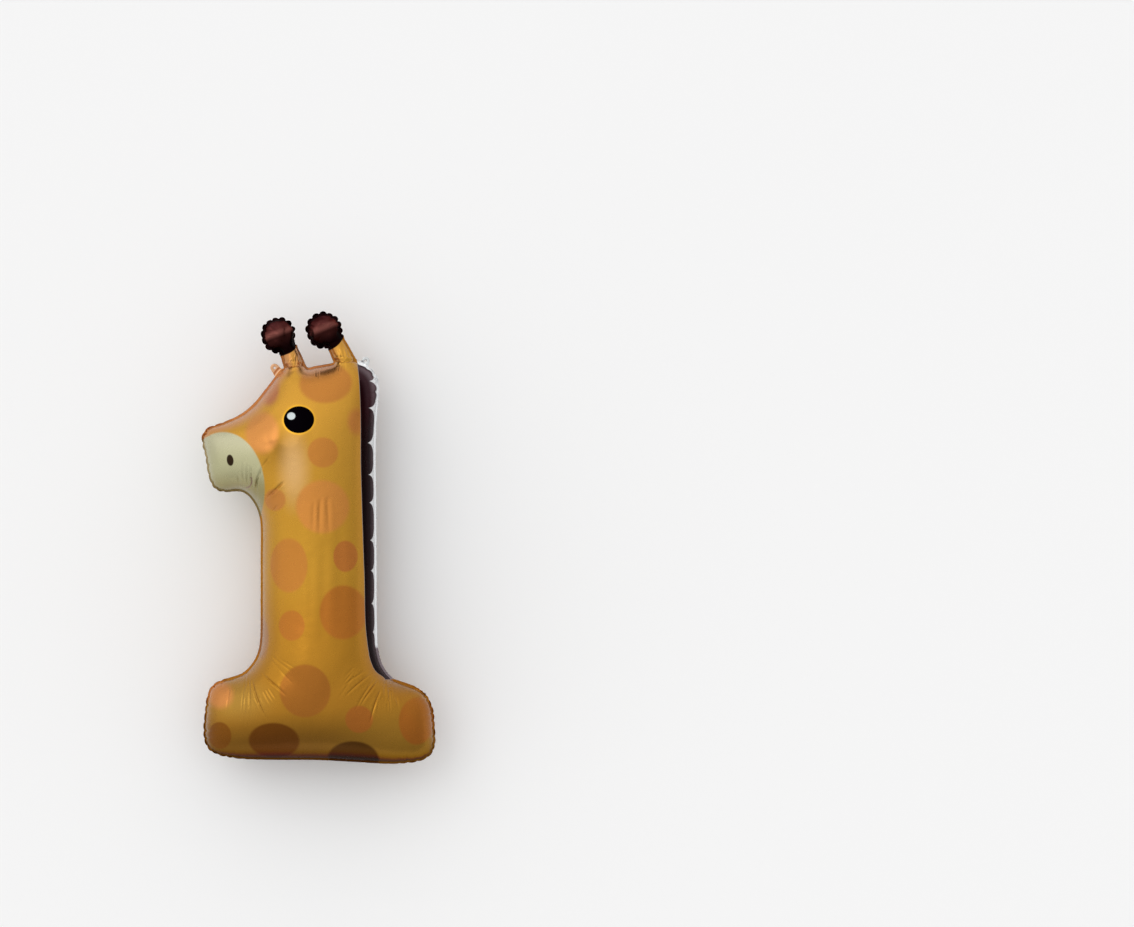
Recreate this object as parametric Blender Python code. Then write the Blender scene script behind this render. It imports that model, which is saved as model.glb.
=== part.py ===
"""A foil balloon in the shape of a giraffe that is also the digit one, inflated and lying on its back.

Two printed foil sheets are welded together along one closed seam, so the balloon is one solid piece.
The seam is drawn flat: X runs across the figure with the muzzle at -X, and Y runs up it to the horns.
Each sheet bulges out of the seam's plane like an inflated skin, the front one to +Z and the back one to -Z.
Outside the seam runs the thin flange of the weld, with two tabs for a ribbon.
All lengths are in metres. The lowest point is at Z = 0, with the figure centred on X and Y.
"""

import math

import bmesh
import bpy
import numpy as np
from mathutils import geometry

# Driving sizes
FIGURE_HEIGHT = 0.800  # from the underside of the foot to the top of the horns
FLANGE_WIDTH = 0.0040  # weld outside the seam
MANE_FLANGE_WIDTH = 0.0062  # wider margin down the mane
FLANGE_THICKNESS = 0.0008  # the two welded sheets, thicker than the real foil so that it is a sound solid
REST_FLAT_WIDTH = 0.070  # the back's flat spot, where the balloon lies on the floor

# Horns: a short neck that leans towards the muzzle and ends in a round knob
KNOB_RADIUS = 0.0280
KNOB_OFFSET = 0.0076  # the knob's centre lies this far in front of the neck's middle line
HORN_REACH = 0.0705  # from the neck's foot to the knob's centre, along the neck
HORN_NECK_WIDTH = 0.0290
HORN_BASE_WIDTH = 0.0345
NECK_PLACE = 0.32  # share of the horn's reach where the neck is at its narrow width
KNOB_GRIP = (0.05, 0.95)  # least and most of the knob's radius that half the neck takes up
LEFT_HORN_LEAN = math.radians(21)
RIGHT_HORN_LEAN = math.radians(29)
LEFT_HORN_TURN = math.radians(34)  # the left horn is turned about its own length
TURN_STRETCH = 0.6  # share of the horn's reach over which the turn grows
LEFT_HORN_BASE = (-53, 873)  # in thousandths of the figure's height, as the outline is
RIGHT_HORN_BASE = (58, 886)

# Tabs for a ribbon, welded flat, each with a punched hole
TAB_WIDTH = 0.0150
TAB_REACH = 0.0190  # from the seam to the tab's round end
TAB_HOLE_RADIUS = 0.0022
LEFT_TAB_ROOT = (-92, 865)
LEFT_TAB_HEADING = math.radians(127)
RIGHT_TAB_ROOT = (95, 878)
RIGHT_TAB_HEADING = math.radians(68)

# Pleats, where the seam runs round an outward bend and has more length than the skin needs
BODY_PLEAT_PITCH = 0.0165
KNOB_PLEAT_PITCH = 0.0122
PLEAT_DEPTH = 0.13  # share of the skin's height
PLEAT_REACH = 0.020  # how far from the seam the pleats run out
PLEATING_FOR_BEND = 0.045  # strength of the pleats for each radian a metre that the seam turns
SCALLOP_DEPTH = 0.30  # share of the flange's width

# Mesh spacing
DRAWING_STEP = 0.0008
RING_DEPTHS = (0.0024, 0.0065)
FILL_SPACING = 0.0170
CLOSE_FILL = (0.55, 1.6)  # where the close fill begins and ends beyond the last ring, in its own spacing
SEAM_ROUNDING = 3 * DRAWING_STEP
BEND_REACH = 8 * DRAWING_STEP  # stretch of seam over which its bend is averaged
OFFSET_KEPT = 0.93  # a point offset from the seam stays if it is this share of its offset from it
FREE_DEPTH = 0.2 * RING_DEPTHS[0]  # points nearer the seam than this stay on it
CUT_TOLERANCE = 1e-7
KNOB_POINTS, TAB_END_POINTS, TAB_HOLE_POINTS = 15, 9, 10
SHARP_ANGLE = math.radians(50)

# The seam in thousandths of the figure's height, from the left horn round by the foot to the right horn
MUZZLE_SIDE = [
    (-86, 868), (-99, 850), (-120, 823), (-145, 793), (-175, 769), (-215, 751), (-247, 740), (-257, 727),
    (-256, 706), (-250, 683), (-247, 660), (-243, 638), (-236, 620), (-225, 609), (-206, 606), (-186, 608),
    (-170, 606), (-157, 598), (-145, 584), (-136, 568), (-130, 550), (-127, 530),
]
FOOT = [
    (-127, 450), (-127, 362), (-128, 275), (-132, 250), (-139, 232), (-151, 214), (-168, 198), (-190, 189),
    (-216, 182), (-236, 171), (-245, 153), (-249, 131), (-252, 104), (-254, 78), (-252, 53), (-243, 35),
    (-226, 25), (-186, 17), (-120, 14), (0, 13), (93, 8), (170, 5), (221, 11), (242, 23), (250, 42),
    (251, 65), (249, 92), (247, 115), (240, 137), (228, 155), (207, 168), (181, 177), (160, 185),
    (145, 199), (134, 216), (127, 235), (122, 262),
]
MANE_SIDE = [
    (121, 295), (120, 362), (120, 450), (119, 583), (118, 693), (120, 760), (124, 804), (126, 834),
    (122, 855), (112, 870), (99, 879),
]
VALLEY = [(9, 879), (-10, 876)]
MANE_TOP = 0.862  # share of the figure's height where the wide margin down the mane starts
MANE_FOOT = 0.215
MANE_TOP_FADE = 0.02
MANE_FOOT_FADE = 0.04


def in_metres(point):
    """A point of the outline, from thousandths of the figure's height."""
    return np.array(point, float) * FIGURE_HEIGHT / 1000


def horn_frame(base, lean):
    """A horn's foot, the directions along its neck and across it to the right, and its knob's centre."""
    foot = in_metres(base)
    along = np.array([-math.sin(lean), math.cos(lean)])
    right = np.array([along[1], -along[0]])
    return foot, along, right, foot + along * HORN_REACH - right * KNOB_OFFSET


def horn_outline(base, lean):
    """The seam up the right side of a horn, round its knob and down its left side."""
    foot, along, right, centre = horn_frame(base, lean)
    half_base = np.array([HORN_BASE_WIDTH / 2 / math.cos(lean), 0])
    half_neck = right * HORN_NECK_WIDTH / 2
    right_turn = math.asin(min((HORN_NECK_WIDTH / 2 + KNOB_OFFSET) / KNOB_RADIUS, KNOB_GRIP[1]))
    left_turn = math.asin(max((HORN_NECK_WIDTH / 2 - KNOB_OFFSET) / KNOB_RADIUS, KNOB_GRIP[0]))
    middle = foot + along * HORN_REACH * NECK_PLACE
    turns = np.linspace(right_turn, 2 * math.pi - left_turn, KNOB_POINTS)
    knob = [centre + KNOB_RADIUS * (right * math.sin(a) - along * math.cos(a)) for a in turns]
    return [foot + half_base, middle + half_neck] + knob + [middle - half_neck, foot - half_base]


def smooth_loop(points, step):
    """A closed curve through the points, as a polyline with a point about every step."""
    control = np.array(points)
    before, after, beyond = (np.roll(control, k, axis=0) for k in (1, -1, -2))
    drawn = []
    for p0, p1, p2, p3 in zip(before, control, after, beyond):
        gaps = [max(math.sqrt(np.linalg.norm(b - a)), 1e-6) for a, b in ((p0, p1), (p1, p2), (p2, p3))]
        start_pull = (p1 - p0) / gaps[0] - (p2 - p0) / (gaps[0] + gaps[1]) + (p2 - p1) / gaps[1]
        end_pull = (p2 - p1) / gaps[1] - (p3 - p1) / (gaps[1] + gaps[2]) + (p3 - p2) / gaps[2]
        start_pull, end_pull = start_pull * gaps[1], end_pull * gaps[1]
        count = max(2, round(np.linalg.norm(p2 - p1) / step))
        t = np.arange(count)[:, None] / count
        drawn.append(
            (2 * t**3 - 3 * t**2 + 1) * p1
            + (t**3 - 2 * t**2 + t) * start_pull
            + (3 * t**2 - 2 * t**3) * p2
            + (t**3 - t**2) * end_pull
        )
    return np.vstack(drawn)


def rounded(loop, reach, step):
    """The loop with its tightest bends eased, by a weighted mean along it."""
    half = max(1, round(3 * reach / step))
    offsets = np.arange(-half, half + 1)
    weights = np.exp(-0.5 * (offsets * step / reach) ** 2)
    weights /= weights.sum()
    return sum(w * np.roll(loop, -k, axis=0) for k, w in zip(offsets, weights))


class Seam:
    """The welded seam as a dense polyline, with its length, outward normal and bend at each point."""

    def __init__(self):
        turned = horn_outline(LEFT_HORN_BASE, LEFT_HORN_LEAN)
        straight = horn_outline(RIGHT_HORN_BASE, RIGHT_HORN_LEAN)
        body = [in_metres(p) for p in MUZZLE_SIDE + FOOT + MANE_SIDE]
        valley = [in_metres(p) for p in VALLEY]
        loop = smooth_loop(body + straight + valley + turned, DRAWING_STEP)
        self.points = rounded(loop, SEAM_ROUNDING, DRAWING_STEP)
        steps = np.linalg.norm(np.roll(self.points, -1, axis=0) - self.points, axis=1)
        self.along = np.concatenate([[0], np.cumsum(steps)[:-1]])
        self.length = steps.sum()
        tangent = np.roll(self.points, -1, axis=0) - np.roll(self.points, 1, axis=0)
        tangent /= np.linalg.norm(tangent, axis=1)[:, None]
        self.normal = np.stack([tangent[:, 1], -tangent[:, 0]], axis=1)
        turn = np.roll(tangent, -1, axis=0) - np.roll(tangent, 1, axis=0)
        bend = -(turn * self.normal).sum(axis=1) / (2 * steps)
        self.bend = rounded(bend[:, None], BEND_REACH, DRAWING_STEP)[:, 0]
        horns = ((LEFT_HORN_BASE, LEFT_HORN_LEAN), (RIGHT_HORN_BASE, RIGHT_HORN_LEAN))
        knobs = [horn_frame(*horn)[3] for horn in horns]
        to_knob = np.min([np.linalg.norm(self.points - k, axis=1) for k in knobs], axis=0)
        self.on_horn = to_knob < HORN_REACH + HORN_BASE_WIDTH / 2
        pitch = np.where(self.on_horn, KNOB_PLEAT_PITCH, BODY_PLEAT_PITCH)
        waves = np.cumsum(np.gradient(self.along) / pitch)
        self.waves = waves * round(waves[-1]) / waves[-1]

    def pleating(self):
        """How strongly the seam is pleated at each point: 0 on straight runs and 1 on tight outward bends."""
        return np.clip(self.bend * PLEATING_FOR_BEND, 0, 1)

    def pleat_wave(self):
        """The pleats' wave along the seam, from -1 in a groove to 1 on a crest."""
        return np.cos(2 * math.pi * self.waves)

    def flange_width(self):
        """The flange's width at each point, with scallops where the seam is pleated."""
        up = self.points[:, 1] / FIGURE_HEIGHT
        beside_mane = (self.points[:, 0] > 0) & ~self.on_horn
        share = np.clip((MANE_TOP + MANE_TOP_FADE - up) / MANE_TOP_FADE, 0, 1)
        share *= np.clip((up - MANE_FOOT) / MANE_FOOT_FADE, 0, 1)
        plain = FLANGE_WIDTH + (MANE_FLANGE_WIDTH - FLANGE_WIDTH) * share * beside_mane
        return plain * (1 + SCALLOP_DEPTH * self.pleating() * self.pleat_wave())

    def stations(self):
        """Indices of the seam's mesh points, one on each pleat's crest and one in each groove."""
        return np.searchsorted(self.waves, np.arange(2 * round(self.waves[-1])) / 2)

    def nearest(self, points):
        """For each point, the index of the nearest seam point and the distance to it."""
        index = np.empty(len(points), int)
        distance = np.empty(len(points))
        for i, p in enumerate(points):
            gap = ((self.points - p) ** 2).sum(axis=1)
            index[i] = gap.argmin()
            distance[i] = math.sqrt(gap[index[i]])
        return index, distance


def inside(polygon, points):
    """Which points lie inside the closed polygon."""
    x, y = points[:, 0], points[:, 1]
    within = np.zeros(len(points), bool)
    for (x0, y0), (x1, y1) in zip(polygon, np.roll(polygon, -1, axis=0)):
        if y0 != y1:
            crosses = (y0 > y) != (y1 > y)
            within ^= crosses & (x < (x1 - x0) * (y - y0) / (y1 - y0) + x0)
    return within


def tab_outline(root, heading):
    """A tab's outline from one side of its root round its end to the other, and the centre of its hole."""
    start = in_metres(root)
    out = np.array([math.cos(heading), math.sin(heading)])
    side = np.array([out[1], -out[0]])
    centre = start + out * (TAB_REACH - TAB_WIDTH / 2)
    turns = np.linspace(0, math.pi, TAB_END_POINTS)
    arc = [centre + TAB_WIDTH / 2 * (side * math.cos(a) + out * math.sin(a)) for a in turns]
    return np.array(arc), centre, out, side


def flange_outline(seam, stations):
    """The flange's outer edge, with both tabs in it, and the centres of the tabs' holes."""
    width = seam.flange_width()
    edge = seam.points + seam.normal * width[:, None]
    _, clearance = seam.nearest(edge[stations])
    kept = stations[clearance > OFFSET_KEPT * width[stations]]
    outline = [tuple(p) for p in edge[kept]]
    holes = []
    for root, heading in ((LEFT_TAB_ROOT, LEFT_TAB_HEADING), (RIGHT_TAB_ROOT, RIGHT_TAB_HEADING)):
        arc, centre, out, side = tab_outline(root, heading)
        reach = np.array([(np.array(p) - in_metres(root)) for p in outline])
        near = np.linalg.norm(reach, axis=1) < 2 * TAB_WIDTH
        covered = near & (np.abs(reach @ side) < TAB_WIDTH / 2 + 2 * DRAWING_STEP)
        first = int(np.argmax(covered & ~np.roll(covered, 1)))
        turned = outline[first:] + outline[:first]
        outline = [tuple(p) for p in arc] + turned[int(covered.sum()):]
        holes.append(centre)
    return np.array(outline), holes


def lay_out_sheet(seam):
    """The flat sheet's points, triangles and closed loops: the outer edge, the seam and the tabs' holes."""
    stations = seam.stations()
    outline, hole_centres = flange_outline(seam, stations)
    loops = [outline, seam.points[stations]]
    for centre in hole_centres:
        turns = np.linspace(0, 2 * math.pi, TAB_HOLE_POINTS, endpoint=False)
        loops.append(centre + TAB_HOLE_RADIUS * np.stack([np.cos(turns), np.sin(turns)], axis=1))
    loose = []
    for depth in RING_DEPTHS:
        ring = seam.points[stations] - seam.normal[stations] * depth
        loose.append(ring[seam.nearest(ring)[1] > OFFSET_KEPT * depth])
    loose.append(fill_points(seam))
    points = np.vstack(loops + loose)
    edges, start = [], 0
    for loop in loops:
        count = len(loop)
        edges += [(start + i, start + (i + 1) % count) for i in range(count)]
        start += count
    cut = geometry.delaunay_2d_cdt([tuple(p) for p in points], edges, [], 0, CUT_TOLERANCE)
    flat = np.array([tuple(v) for v in cut[0]])
    triangles = np.array(cut[2])
    middle = flat[triangles].mean(axis=1)
    kept = inside(outline, middle)
    for hole in loops[2:]:
        kept &= ~inside(hole, middle)
    return flat, triangles[kept]


def fill_points(seam):
    """Points in a triangular pattern inside the seam, close beside it and in the horns and wide elsewhere."""
    low, high = seam.points.min(axis=0), seam.points.max(axis=0)
    fine = FILL_SPACING / 2
    rows = np.arange(low[1], high[1], fine * math.sqrt(3) / 2)
    found = []
    for number, y in enumerate(rows):
        shift = fine / 2 if number % 2 else 0.0
        x = np.arange(low[0] + shift, high[0], fine)
        column = np.arange(len(x))
        wide = (number % 2 == 0) & ((column + number // 2) % 2 == 0)
        found.append(np.stack([x, np.full(len(x), y), np.full(len(x), wide)], axis=1))
    grid = np.vstack(found)
    grid = grid[inside(seam.points, grid[:, :2])]
    index, depth = seam.nearest(grid[:, :2])
    first, last = (RING_DEPTHS[-1] + share * fine for share in CLOSE_FILL)
    on_horn = seam.on_horn[index] & (grid[:, 1] > in_metres(LEFT_HORN_BASE)[1])
    close = (depth > first) & ((depth < last) | on_horn)
    wide = (depth >= last) & (grid[:, 2] > 0)
    return grid[close | wide, :2]


def skin_heights(flat, triangles, free):
    """How high the inflated skin stands over each point: a tube over a straight strip, lower over a disc.

    The square of the height solves the flat membrane's equation, with zero on every point that isn't free."""
    corner = flat[triangles]
    stiffness = np.zeros((len(flat), len(flat)))
    load = np.zeros(len(flat))
    sides = np.roll(corner, -1, axis=1) - np.roll(corner, -2, axis=1)
    area = 0.5 * np.abs(sides[:, 0, 0] * sides[:, 1, 1] - sides[:, 0, 1] * sides[:, 1, 0])
    for i in range(3):
        np.add.at(load, triangles[:, i], 2 * area / 3)
        for j in range(3):
            part = (sides[:, i] * sides[:, j]).sum(axis=1) / (4 * area)
            np.add.at(stiffness, (triangles[:, i], triangles[:, j]), part)
    square = np.zeros(len(flat))
    square[free] = np.linalg.solve(stiffness[np.ix_(free, free)], load[free])
    return np.sqrt(np.maximum(square, 0))


def pleated(seam, flat, height):
    """The heights with the pleats pressed in near the seam's outward bends."""
    index, depth = seam.nearest(flat)
    strength = PLEAT_DEPTH * seam.pleating()[index] * np.exp(-((depth / PLEAT_REACH) ** 2))
    return height * (1 + strength * seam.pleat_wave()[index])


def turn_left_horn(corners):
    """The corners of the left horn turned about its own length, more and more from its base to its knob."""
    foot, along, across, _ = horn_frame(LEFT_HORN_BASE, LEFT_HORN_LEAN)
    offset = corners[:, :2] - foot
    climb, side, lift = offset @ along, offset @ across, corners[:, 2]
    share = np.clip(climb / (TURN_STRETCH * HORN_REACH), 0, 1)
    share = share * share * (3 - 2 * share)
    on_neck = (np.abs(side) < HORN_BASE_WIDTH / 2 + 2 * FLANGE_WIDTH) & (climb < HORN_REACH)
    on_knob = np.hypot(climb - HORN_REACH, side + KNOB_OFFSET) < KNOB_RADIUS + 2 * FLANGE_WIDTH
    share[~(on_neck | on_knob)] = 0
    angle = -LEFT_HORN_TURN * share
    turned_side = side * np.cos(angle) - lift * np.sin(angle)
    turned_lift = side * np.sin(angle) + lift * np.cos(angle)
    place = foot + climb[:, None] * along + turned_side[:, None] * across
    return np.column_stack([place, turned_lift])


def balloon_mesh():
    """The whole envelope as one closed mesh: the front sheet, the back sheet and the flange's edge."""
    seam = Seam()
    flat, triangles = lay_out_sheet(seam)
    used = np.isin(np.arange(len(flat)), triangles)
    _, depth = seam.nearest(flat)
    free = np.flatnonzero(used & inside(seam.points, flat) & (depth > FREE_DEPTH))
    height = pleated(seam, flat, skin_heights(flat, triangles, free))
    half = FLANGE_THICKNESS / 2
    tallest = height.max()
    deepest = math.sqrt(max(tallest**2 - (REST_FLAT_WIDTH / 2) ** 2, (tallest / 2) ** 2))
    front = np.column_stack([flat, half + height])
    back = np.column_stack([flat, -half - np.minimum(height, deepest)])
    corners = turn_left_horn(np.vstack([front, back]))
    low, high = corners.min(axis=0), corners.max(axis=0)
    corners -= [(low[0] + high[0]) / 2, (low[1] + high[1]) / 2, low[2]]

    count = len(flat)
    faces = [tuple(t) for t in triangles] + [tuple(count + i for i in reversed(t)) for t in triangles]
    directed = {(t[i], t[(i + 1) % 3]) for t in triangles for i in range(3)}
    for a, b in directed:
        if (b, a) not in directed:
            faces.append((b, a, count + a, count + b))
    mesh = bpy.data.meshes.new("foil_balloon")
    mesh.from_pydata([tuple(c) for c in corners], [], [tuple(int(i) for i in f) for f in faces])
    shell = bmesh.new()
    shell.from_mesh(mesh)
    bmesh.ops.delete(shell, geom=[v for v in shell.verts if not v.link_faces], context="VERTS")
    bmesh.ops.triangulate(shell, faces=shell.faces[:])
    bmesh.ops.recalc_face_normals(shell, faces=shell.faces[:])
    shell.to_mesh(mesh)
    shell.free()
    return mesh


def printed_foil():
    """Mustard ink over metallised film."""
    material = bpy.data.materials.new("printed_foil")
    material.use_nodes = True
    shader = material.node_tree.nodes["Principled BSDF"]
    shader.inputs["Base Color"].default_value = (0.50, 0.25, 0.03, 1)
    shader.inputs["Metallic"].default_value = 0.6
    shader.inputs["Roughness"].default_value = 0.3
    return material


def main():
    for thing in list(bpy.data.objects):
        bpy.data.objects.remove(thing, do_unlink=True)
    mesh = balloon_mesh()
    mesh.materials.append(printed_foil())
    mesh.shade_smooth()
    mesh.set_sharp_from_angle(angle=SHARP_ANGLE)
    balloon = bpy.data.objects.new("foil_balloon", mesh)
    bpy.context.scene.collection.objects.link(balloon)


main()
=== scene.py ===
"""A giraffe foil balloon that is also the figure one, inflated and lying on its back on a pale studio floor.

Two printed foil sheets are welded together along one seam. The seam is drawn flat, the two skins are blown up
from it like soap films, and then the puckers at the weld and the tension creases are pressed into them.
Lengths are in metres unless a name says otherwise."""

import math

import bpy
import numpy as np
from bpy.props import FloatProperty, FloatVectorProperty, PointerProperty
from bpy.types import Operator, Panel, PropertyGroup
from mathutils import Color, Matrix, Vector, geometry, kdtree, noise
from mathutils.bvhtree import BVHTree


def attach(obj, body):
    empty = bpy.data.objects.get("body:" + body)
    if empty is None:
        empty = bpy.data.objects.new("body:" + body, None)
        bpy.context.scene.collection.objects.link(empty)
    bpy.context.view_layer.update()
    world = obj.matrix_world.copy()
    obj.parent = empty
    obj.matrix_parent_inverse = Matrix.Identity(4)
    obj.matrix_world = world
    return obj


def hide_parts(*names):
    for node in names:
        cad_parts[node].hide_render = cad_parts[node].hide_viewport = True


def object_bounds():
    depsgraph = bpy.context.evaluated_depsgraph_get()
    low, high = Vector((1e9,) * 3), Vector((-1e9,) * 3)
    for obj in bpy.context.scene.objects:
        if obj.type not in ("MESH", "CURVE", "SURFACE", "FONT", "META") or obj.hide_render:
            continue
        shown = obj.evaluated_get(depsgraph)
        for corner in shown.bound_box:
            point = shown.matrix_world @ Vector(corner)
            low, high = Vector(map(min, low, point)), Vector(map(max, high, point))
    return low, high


bl_info = {
    "name": "Giraffe foil balloon",
    "version": (1, 0, 0),
    "blender": (4, 5, 0),
    "location": "View3D > Sidebar > Balloon",
    "description": "Builds an inflated giraffe foil balloon with its print, puckers and creases",
    "category": "Add Mesh",
}

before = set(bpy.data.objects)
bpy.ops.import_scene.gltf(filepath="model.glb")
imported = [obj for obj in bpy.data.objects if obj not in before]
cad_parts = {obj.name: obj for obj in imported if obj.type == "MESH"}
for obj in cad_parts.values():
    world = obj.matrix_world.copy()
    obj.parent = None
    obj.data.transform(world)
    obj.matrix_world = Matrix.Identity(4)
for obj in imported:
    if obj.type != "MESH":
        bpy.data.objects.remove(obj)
CAD_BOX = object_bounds()
FIGURE_HEIGHT = 0.800
# The photograph's frame and, in its pixels, the balloon's middle and the height of the figure.
PHOTO_FRAME = np.array([1134.0, 927.0])
BALLOON_MIDDLE = np.array([318.5, 537.6])
FIGURE_PIXELS = 452

# The seam, in thousandths of the figure's height: across from the stem's middle, and up from the foot.
MUZZLE_SIDE = [
    (-86, 868), (-99, 850), (-120, 823), (-145, 793), (-175, 769), (-215, 751), (-247, 740), (-257, 727),
    (-256, 706), (-250, 683), (-247, 660), (-243, 638), (-236, 620), (-225, 609), (-206, 606), (-186, 608),
    (-170, 606), (-157, 598), (-145, 584), (-136, 568), (-130, 550), (-127, 530),
]
FOOT = [
    (-127, 450), (-127, 362), (-128, 275), (-132, 250), (-139, 232), (-151, 214), (-168, 198), (-190, 189),
    (-216, 182), (-236, 171), (-245, 153), (-249, 131), (-252, 104), (-254, 78), (-252, 53), (-243, 35),
    (-226, 25), (-186, 17), (-120, 14), (0, 13), (93, 8), (170, 5), (221, 11), (242, 23), (250, 42),
    (251, 65), (249, 92), (247, 115), (240, 137), (228, 155), (207, 168), (181, 177), (160, 185),
    (145, 199), (134, 216), (127, 235), (122, 262),
]
MANE_SIDE = [
    (121, 295), (120, 362), (120, 450), (119, 583), (118, 693), (120, 760), (124, 804), (126, 834),
    (122, 855), (112, 870), (99, 879),
]
VALLEY = [(9, 879), (-10, 876)]
MANE_TOP, MANE_FOOT = 0.862, 0.215  # shares of the figure's height between which the mane's weld is wider
MANE_TOP_FADE, MANE_FOOT_FADE = 0.02, 0.04  # shares over which it widens
MANE_INSIDE = 100  # the weld beyond this far across is the mane's

# Horns: the neck's foot, its length up to the knob's middle, its lean and its turn about its own length.
LEFT_HORN = {"base": (-53, 873), "reach": 0.0670, "lean": math.radians(21.5), "turn": math.radians(20)}
RIGHT_HORN = {"base": (58, 886), "reach": 0.0705, "lean": math.radians(27.5), "turn": 0.0}
KNOB_RADIUS = 0.0280
KNOB_OFFSET = 0.0076  # the knob's middle lies this far in front of the neck's
HORN_NECK_WIDTH = 0.0290
HORN_BASE_WIDTH = 0.0345
NECK_PLACE = 0.32  # share of the reach where the neck is at its narrow width
TURN_STRETCH = 0.6  # share of the reach over which the turn grows
KNOB_POINTS = 15  # drawn round a knob, before the seam is smoothed

# Ribbon tabs: the root on the seam and the heading of each.
TABS = [((-92, 865), math.radians(127)), ((95, 878), math.radians(68))]
TAB_END_POINTS = 25
# In widths of a tab: it replaces the weld's edge this near its own middle line, and this near its root.
TAB_COVER, TAB_ROOT_REACH = 0.55, 2
TAB_PATCH = 1.5  # half the side of the grid over a tab, in its widths

# The weld is gathered most tightly at the foot's right end.
TIGHT_CURLS = (232, 150)
TIGHT_CURLS_REACH = 0.030

SEAM_STEP = 0.0006  # spacing of the seam's own polyline
SEAM_ROUNDING = 0.0024  # smooths the drawn seam
BEND_REACH = 0.030  # stretch over which the seam's bend is felt by the gathers
NOISE_SPAN = 1.8  # brings the noise's own range to about -1 to 1
STRIP_DEPTH = 0.015  # how far the evenly spaced rows run in from the seam, seen from the front
STRIP_ROWS = 20
FILL_PITCH = 0.0034  # grid inside those rows
FOIL_GAP = 0.0005  # between the two sheets in the weld
CURVED_SKIN = 1.06  # way along a blown-up skin, against the straight line over it
WANDER_REACH = 0.014  # how far into the skin the weld's wander is felt
LEAST = 1e-15  # keeps a division from zero


def linear(code):
    """An sRGB hex colour as linear RGB."""
    values = [int(code[i:i + 2], 16) / 255 for i in (1, 3, 5)]
    return tuple(v / 12.92 if v <= 0.04045 else ((v + 0.055) / 1.055) ** 2.4 for v in values)


def in_metres(point):
    """A point of the outline or the print, from thousandths of the figure's height."""
    return np.array(point, float) * FIGURE_HEIGHT / 1000


# The seam

def horn_frame(horn):
    """A horn's foot, the directions along and across its neck, and its knob's centre."""
    foot = in_metres(horn["base"])
    along = np.array([-math.sin(horn["lean"]), math.cos(horn["lean"])])
    right = np.array([along[1], -along[0]])
    return foot, along, right, foot + along * horn["reach"] - right * KNOB_OFFSET


def horn_outline(horn):
    """The seam up the right side of a horn, round its knob and down its left side."""
    foot, along, right, centre = horn_frame(horn)
    half_base = np.array([HORN_BASE_WIDTH / 2 / math.cos(horn["lean"]), 0])
    half_neck = right * HORN_NECK_WIDTH / 2
    right_turn = math.asin((HORN_NECK_WIDTH / 2 + KNOB_OFFSET) / KNOB_RADIUS)
    left_turn = math.asin((HORN_NECK_WIDTH / 2 - KNOB_OFFSET) / KNOB_RADIUS)
    middle = foot + along * horn["reach"] * NECK_PLACE
    turns = np.linspace(right_turn, 2 * math.pi - left_turn, KNOB_POINTS)
    knob = [centre + KNOB_RADIUS * (right * math.sin(a) - along * math.cos(a)) for a in turns]
    return [foot + half_base, middle + half_neck] + knob + [middle - half_neck, foot - half_base]


def smooth_loop(points, step):
    """A closed curve through the points, as a polyline with a point about every step."""
    control = np.array(points)
    before, after, beyond = (np.roll(control, k, axis=0) for k in (1, -1, -2))
    drawn = []
    for p0, p1, p2, p3 in zip(before, control, after, beyond):
        gaps = [max(math.sqrt(np.linalg.norm(b - a)), LEAST) for a, b in ((p0, p1), (p1, p2), (p2, p3))]
        start_pull = (p1 - p0) / gaps[0] - (p2 - p0) / (gaps[0] + gaps[1]) + (p2 - p1) / gaps[1]
        end_pull = (p2 - p1) / gaps[1] - (p3 - p1) / (gaps[1] + gaps[2]) + (p3 - p2) / gaps[2]
        start_pull, end_pull = start_pull * gaps[1], end_pull * gaps[1]
        count = max(2, round(np.linalg.norm(p2 - p1) / step))
        t = np.arange(count)[:, None] / count
        drawn.append(
            (2 * t**3 - 3 * t**2 + 1) * p1
            + (t**3 - 2 * t**2 + t) * start_pull
            + (3 * t**2 - 2 * t**3) * p2
            + (t**3 - t**2) * end_pull
        )
    return np.vstack(drawn)


def eased(values, reach, step):
    """Values round a loop, each replaced by a weighted mean over its neighbours within about the reach."""
    half = max(1, round(3 * reach / step))
    offsets = np.arange(-half, half + 1)
    weights = np.exp(-0.5 * (offsets * step / reach) ** 2)
    weights /= weights.sum()
    return sum(w * np.roll(values, -k, axis=0) for k, w in zip(offsets, weights))


def loop_noise(along, length, wave, seed):
    """Smooth noise from about -1 to 1 round a loop of the given length, with bumps about a wave long."""
    radius = length / (2 * math.pi * wave)
    turns = 2 * math.pi * np.asarray(along) / length
    return np.array([
        NOISE_SPAN * noise.noise(Vector((radius * math.cos(a), radius * math.sin(a), seed))) for a in turns
    ])


def tree_of(points):
    """A search tree over points of the flat sheet."""
    tree = kdtree.KDTree(len(points))
    for i, p in enumerate(points):
        tree.insert((p[0], p[1], 0), i)
    tree.balance()
    return tree


def nearest_in(tree, points):
    """For each point, the index of the nearest one in the tree and the distance to it."""
    found = [tree.find((p[0], p[1], 0)) for p in points]
    return np.array([f[1] for f in found]), np.array([f[2] for f in found])


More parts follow.
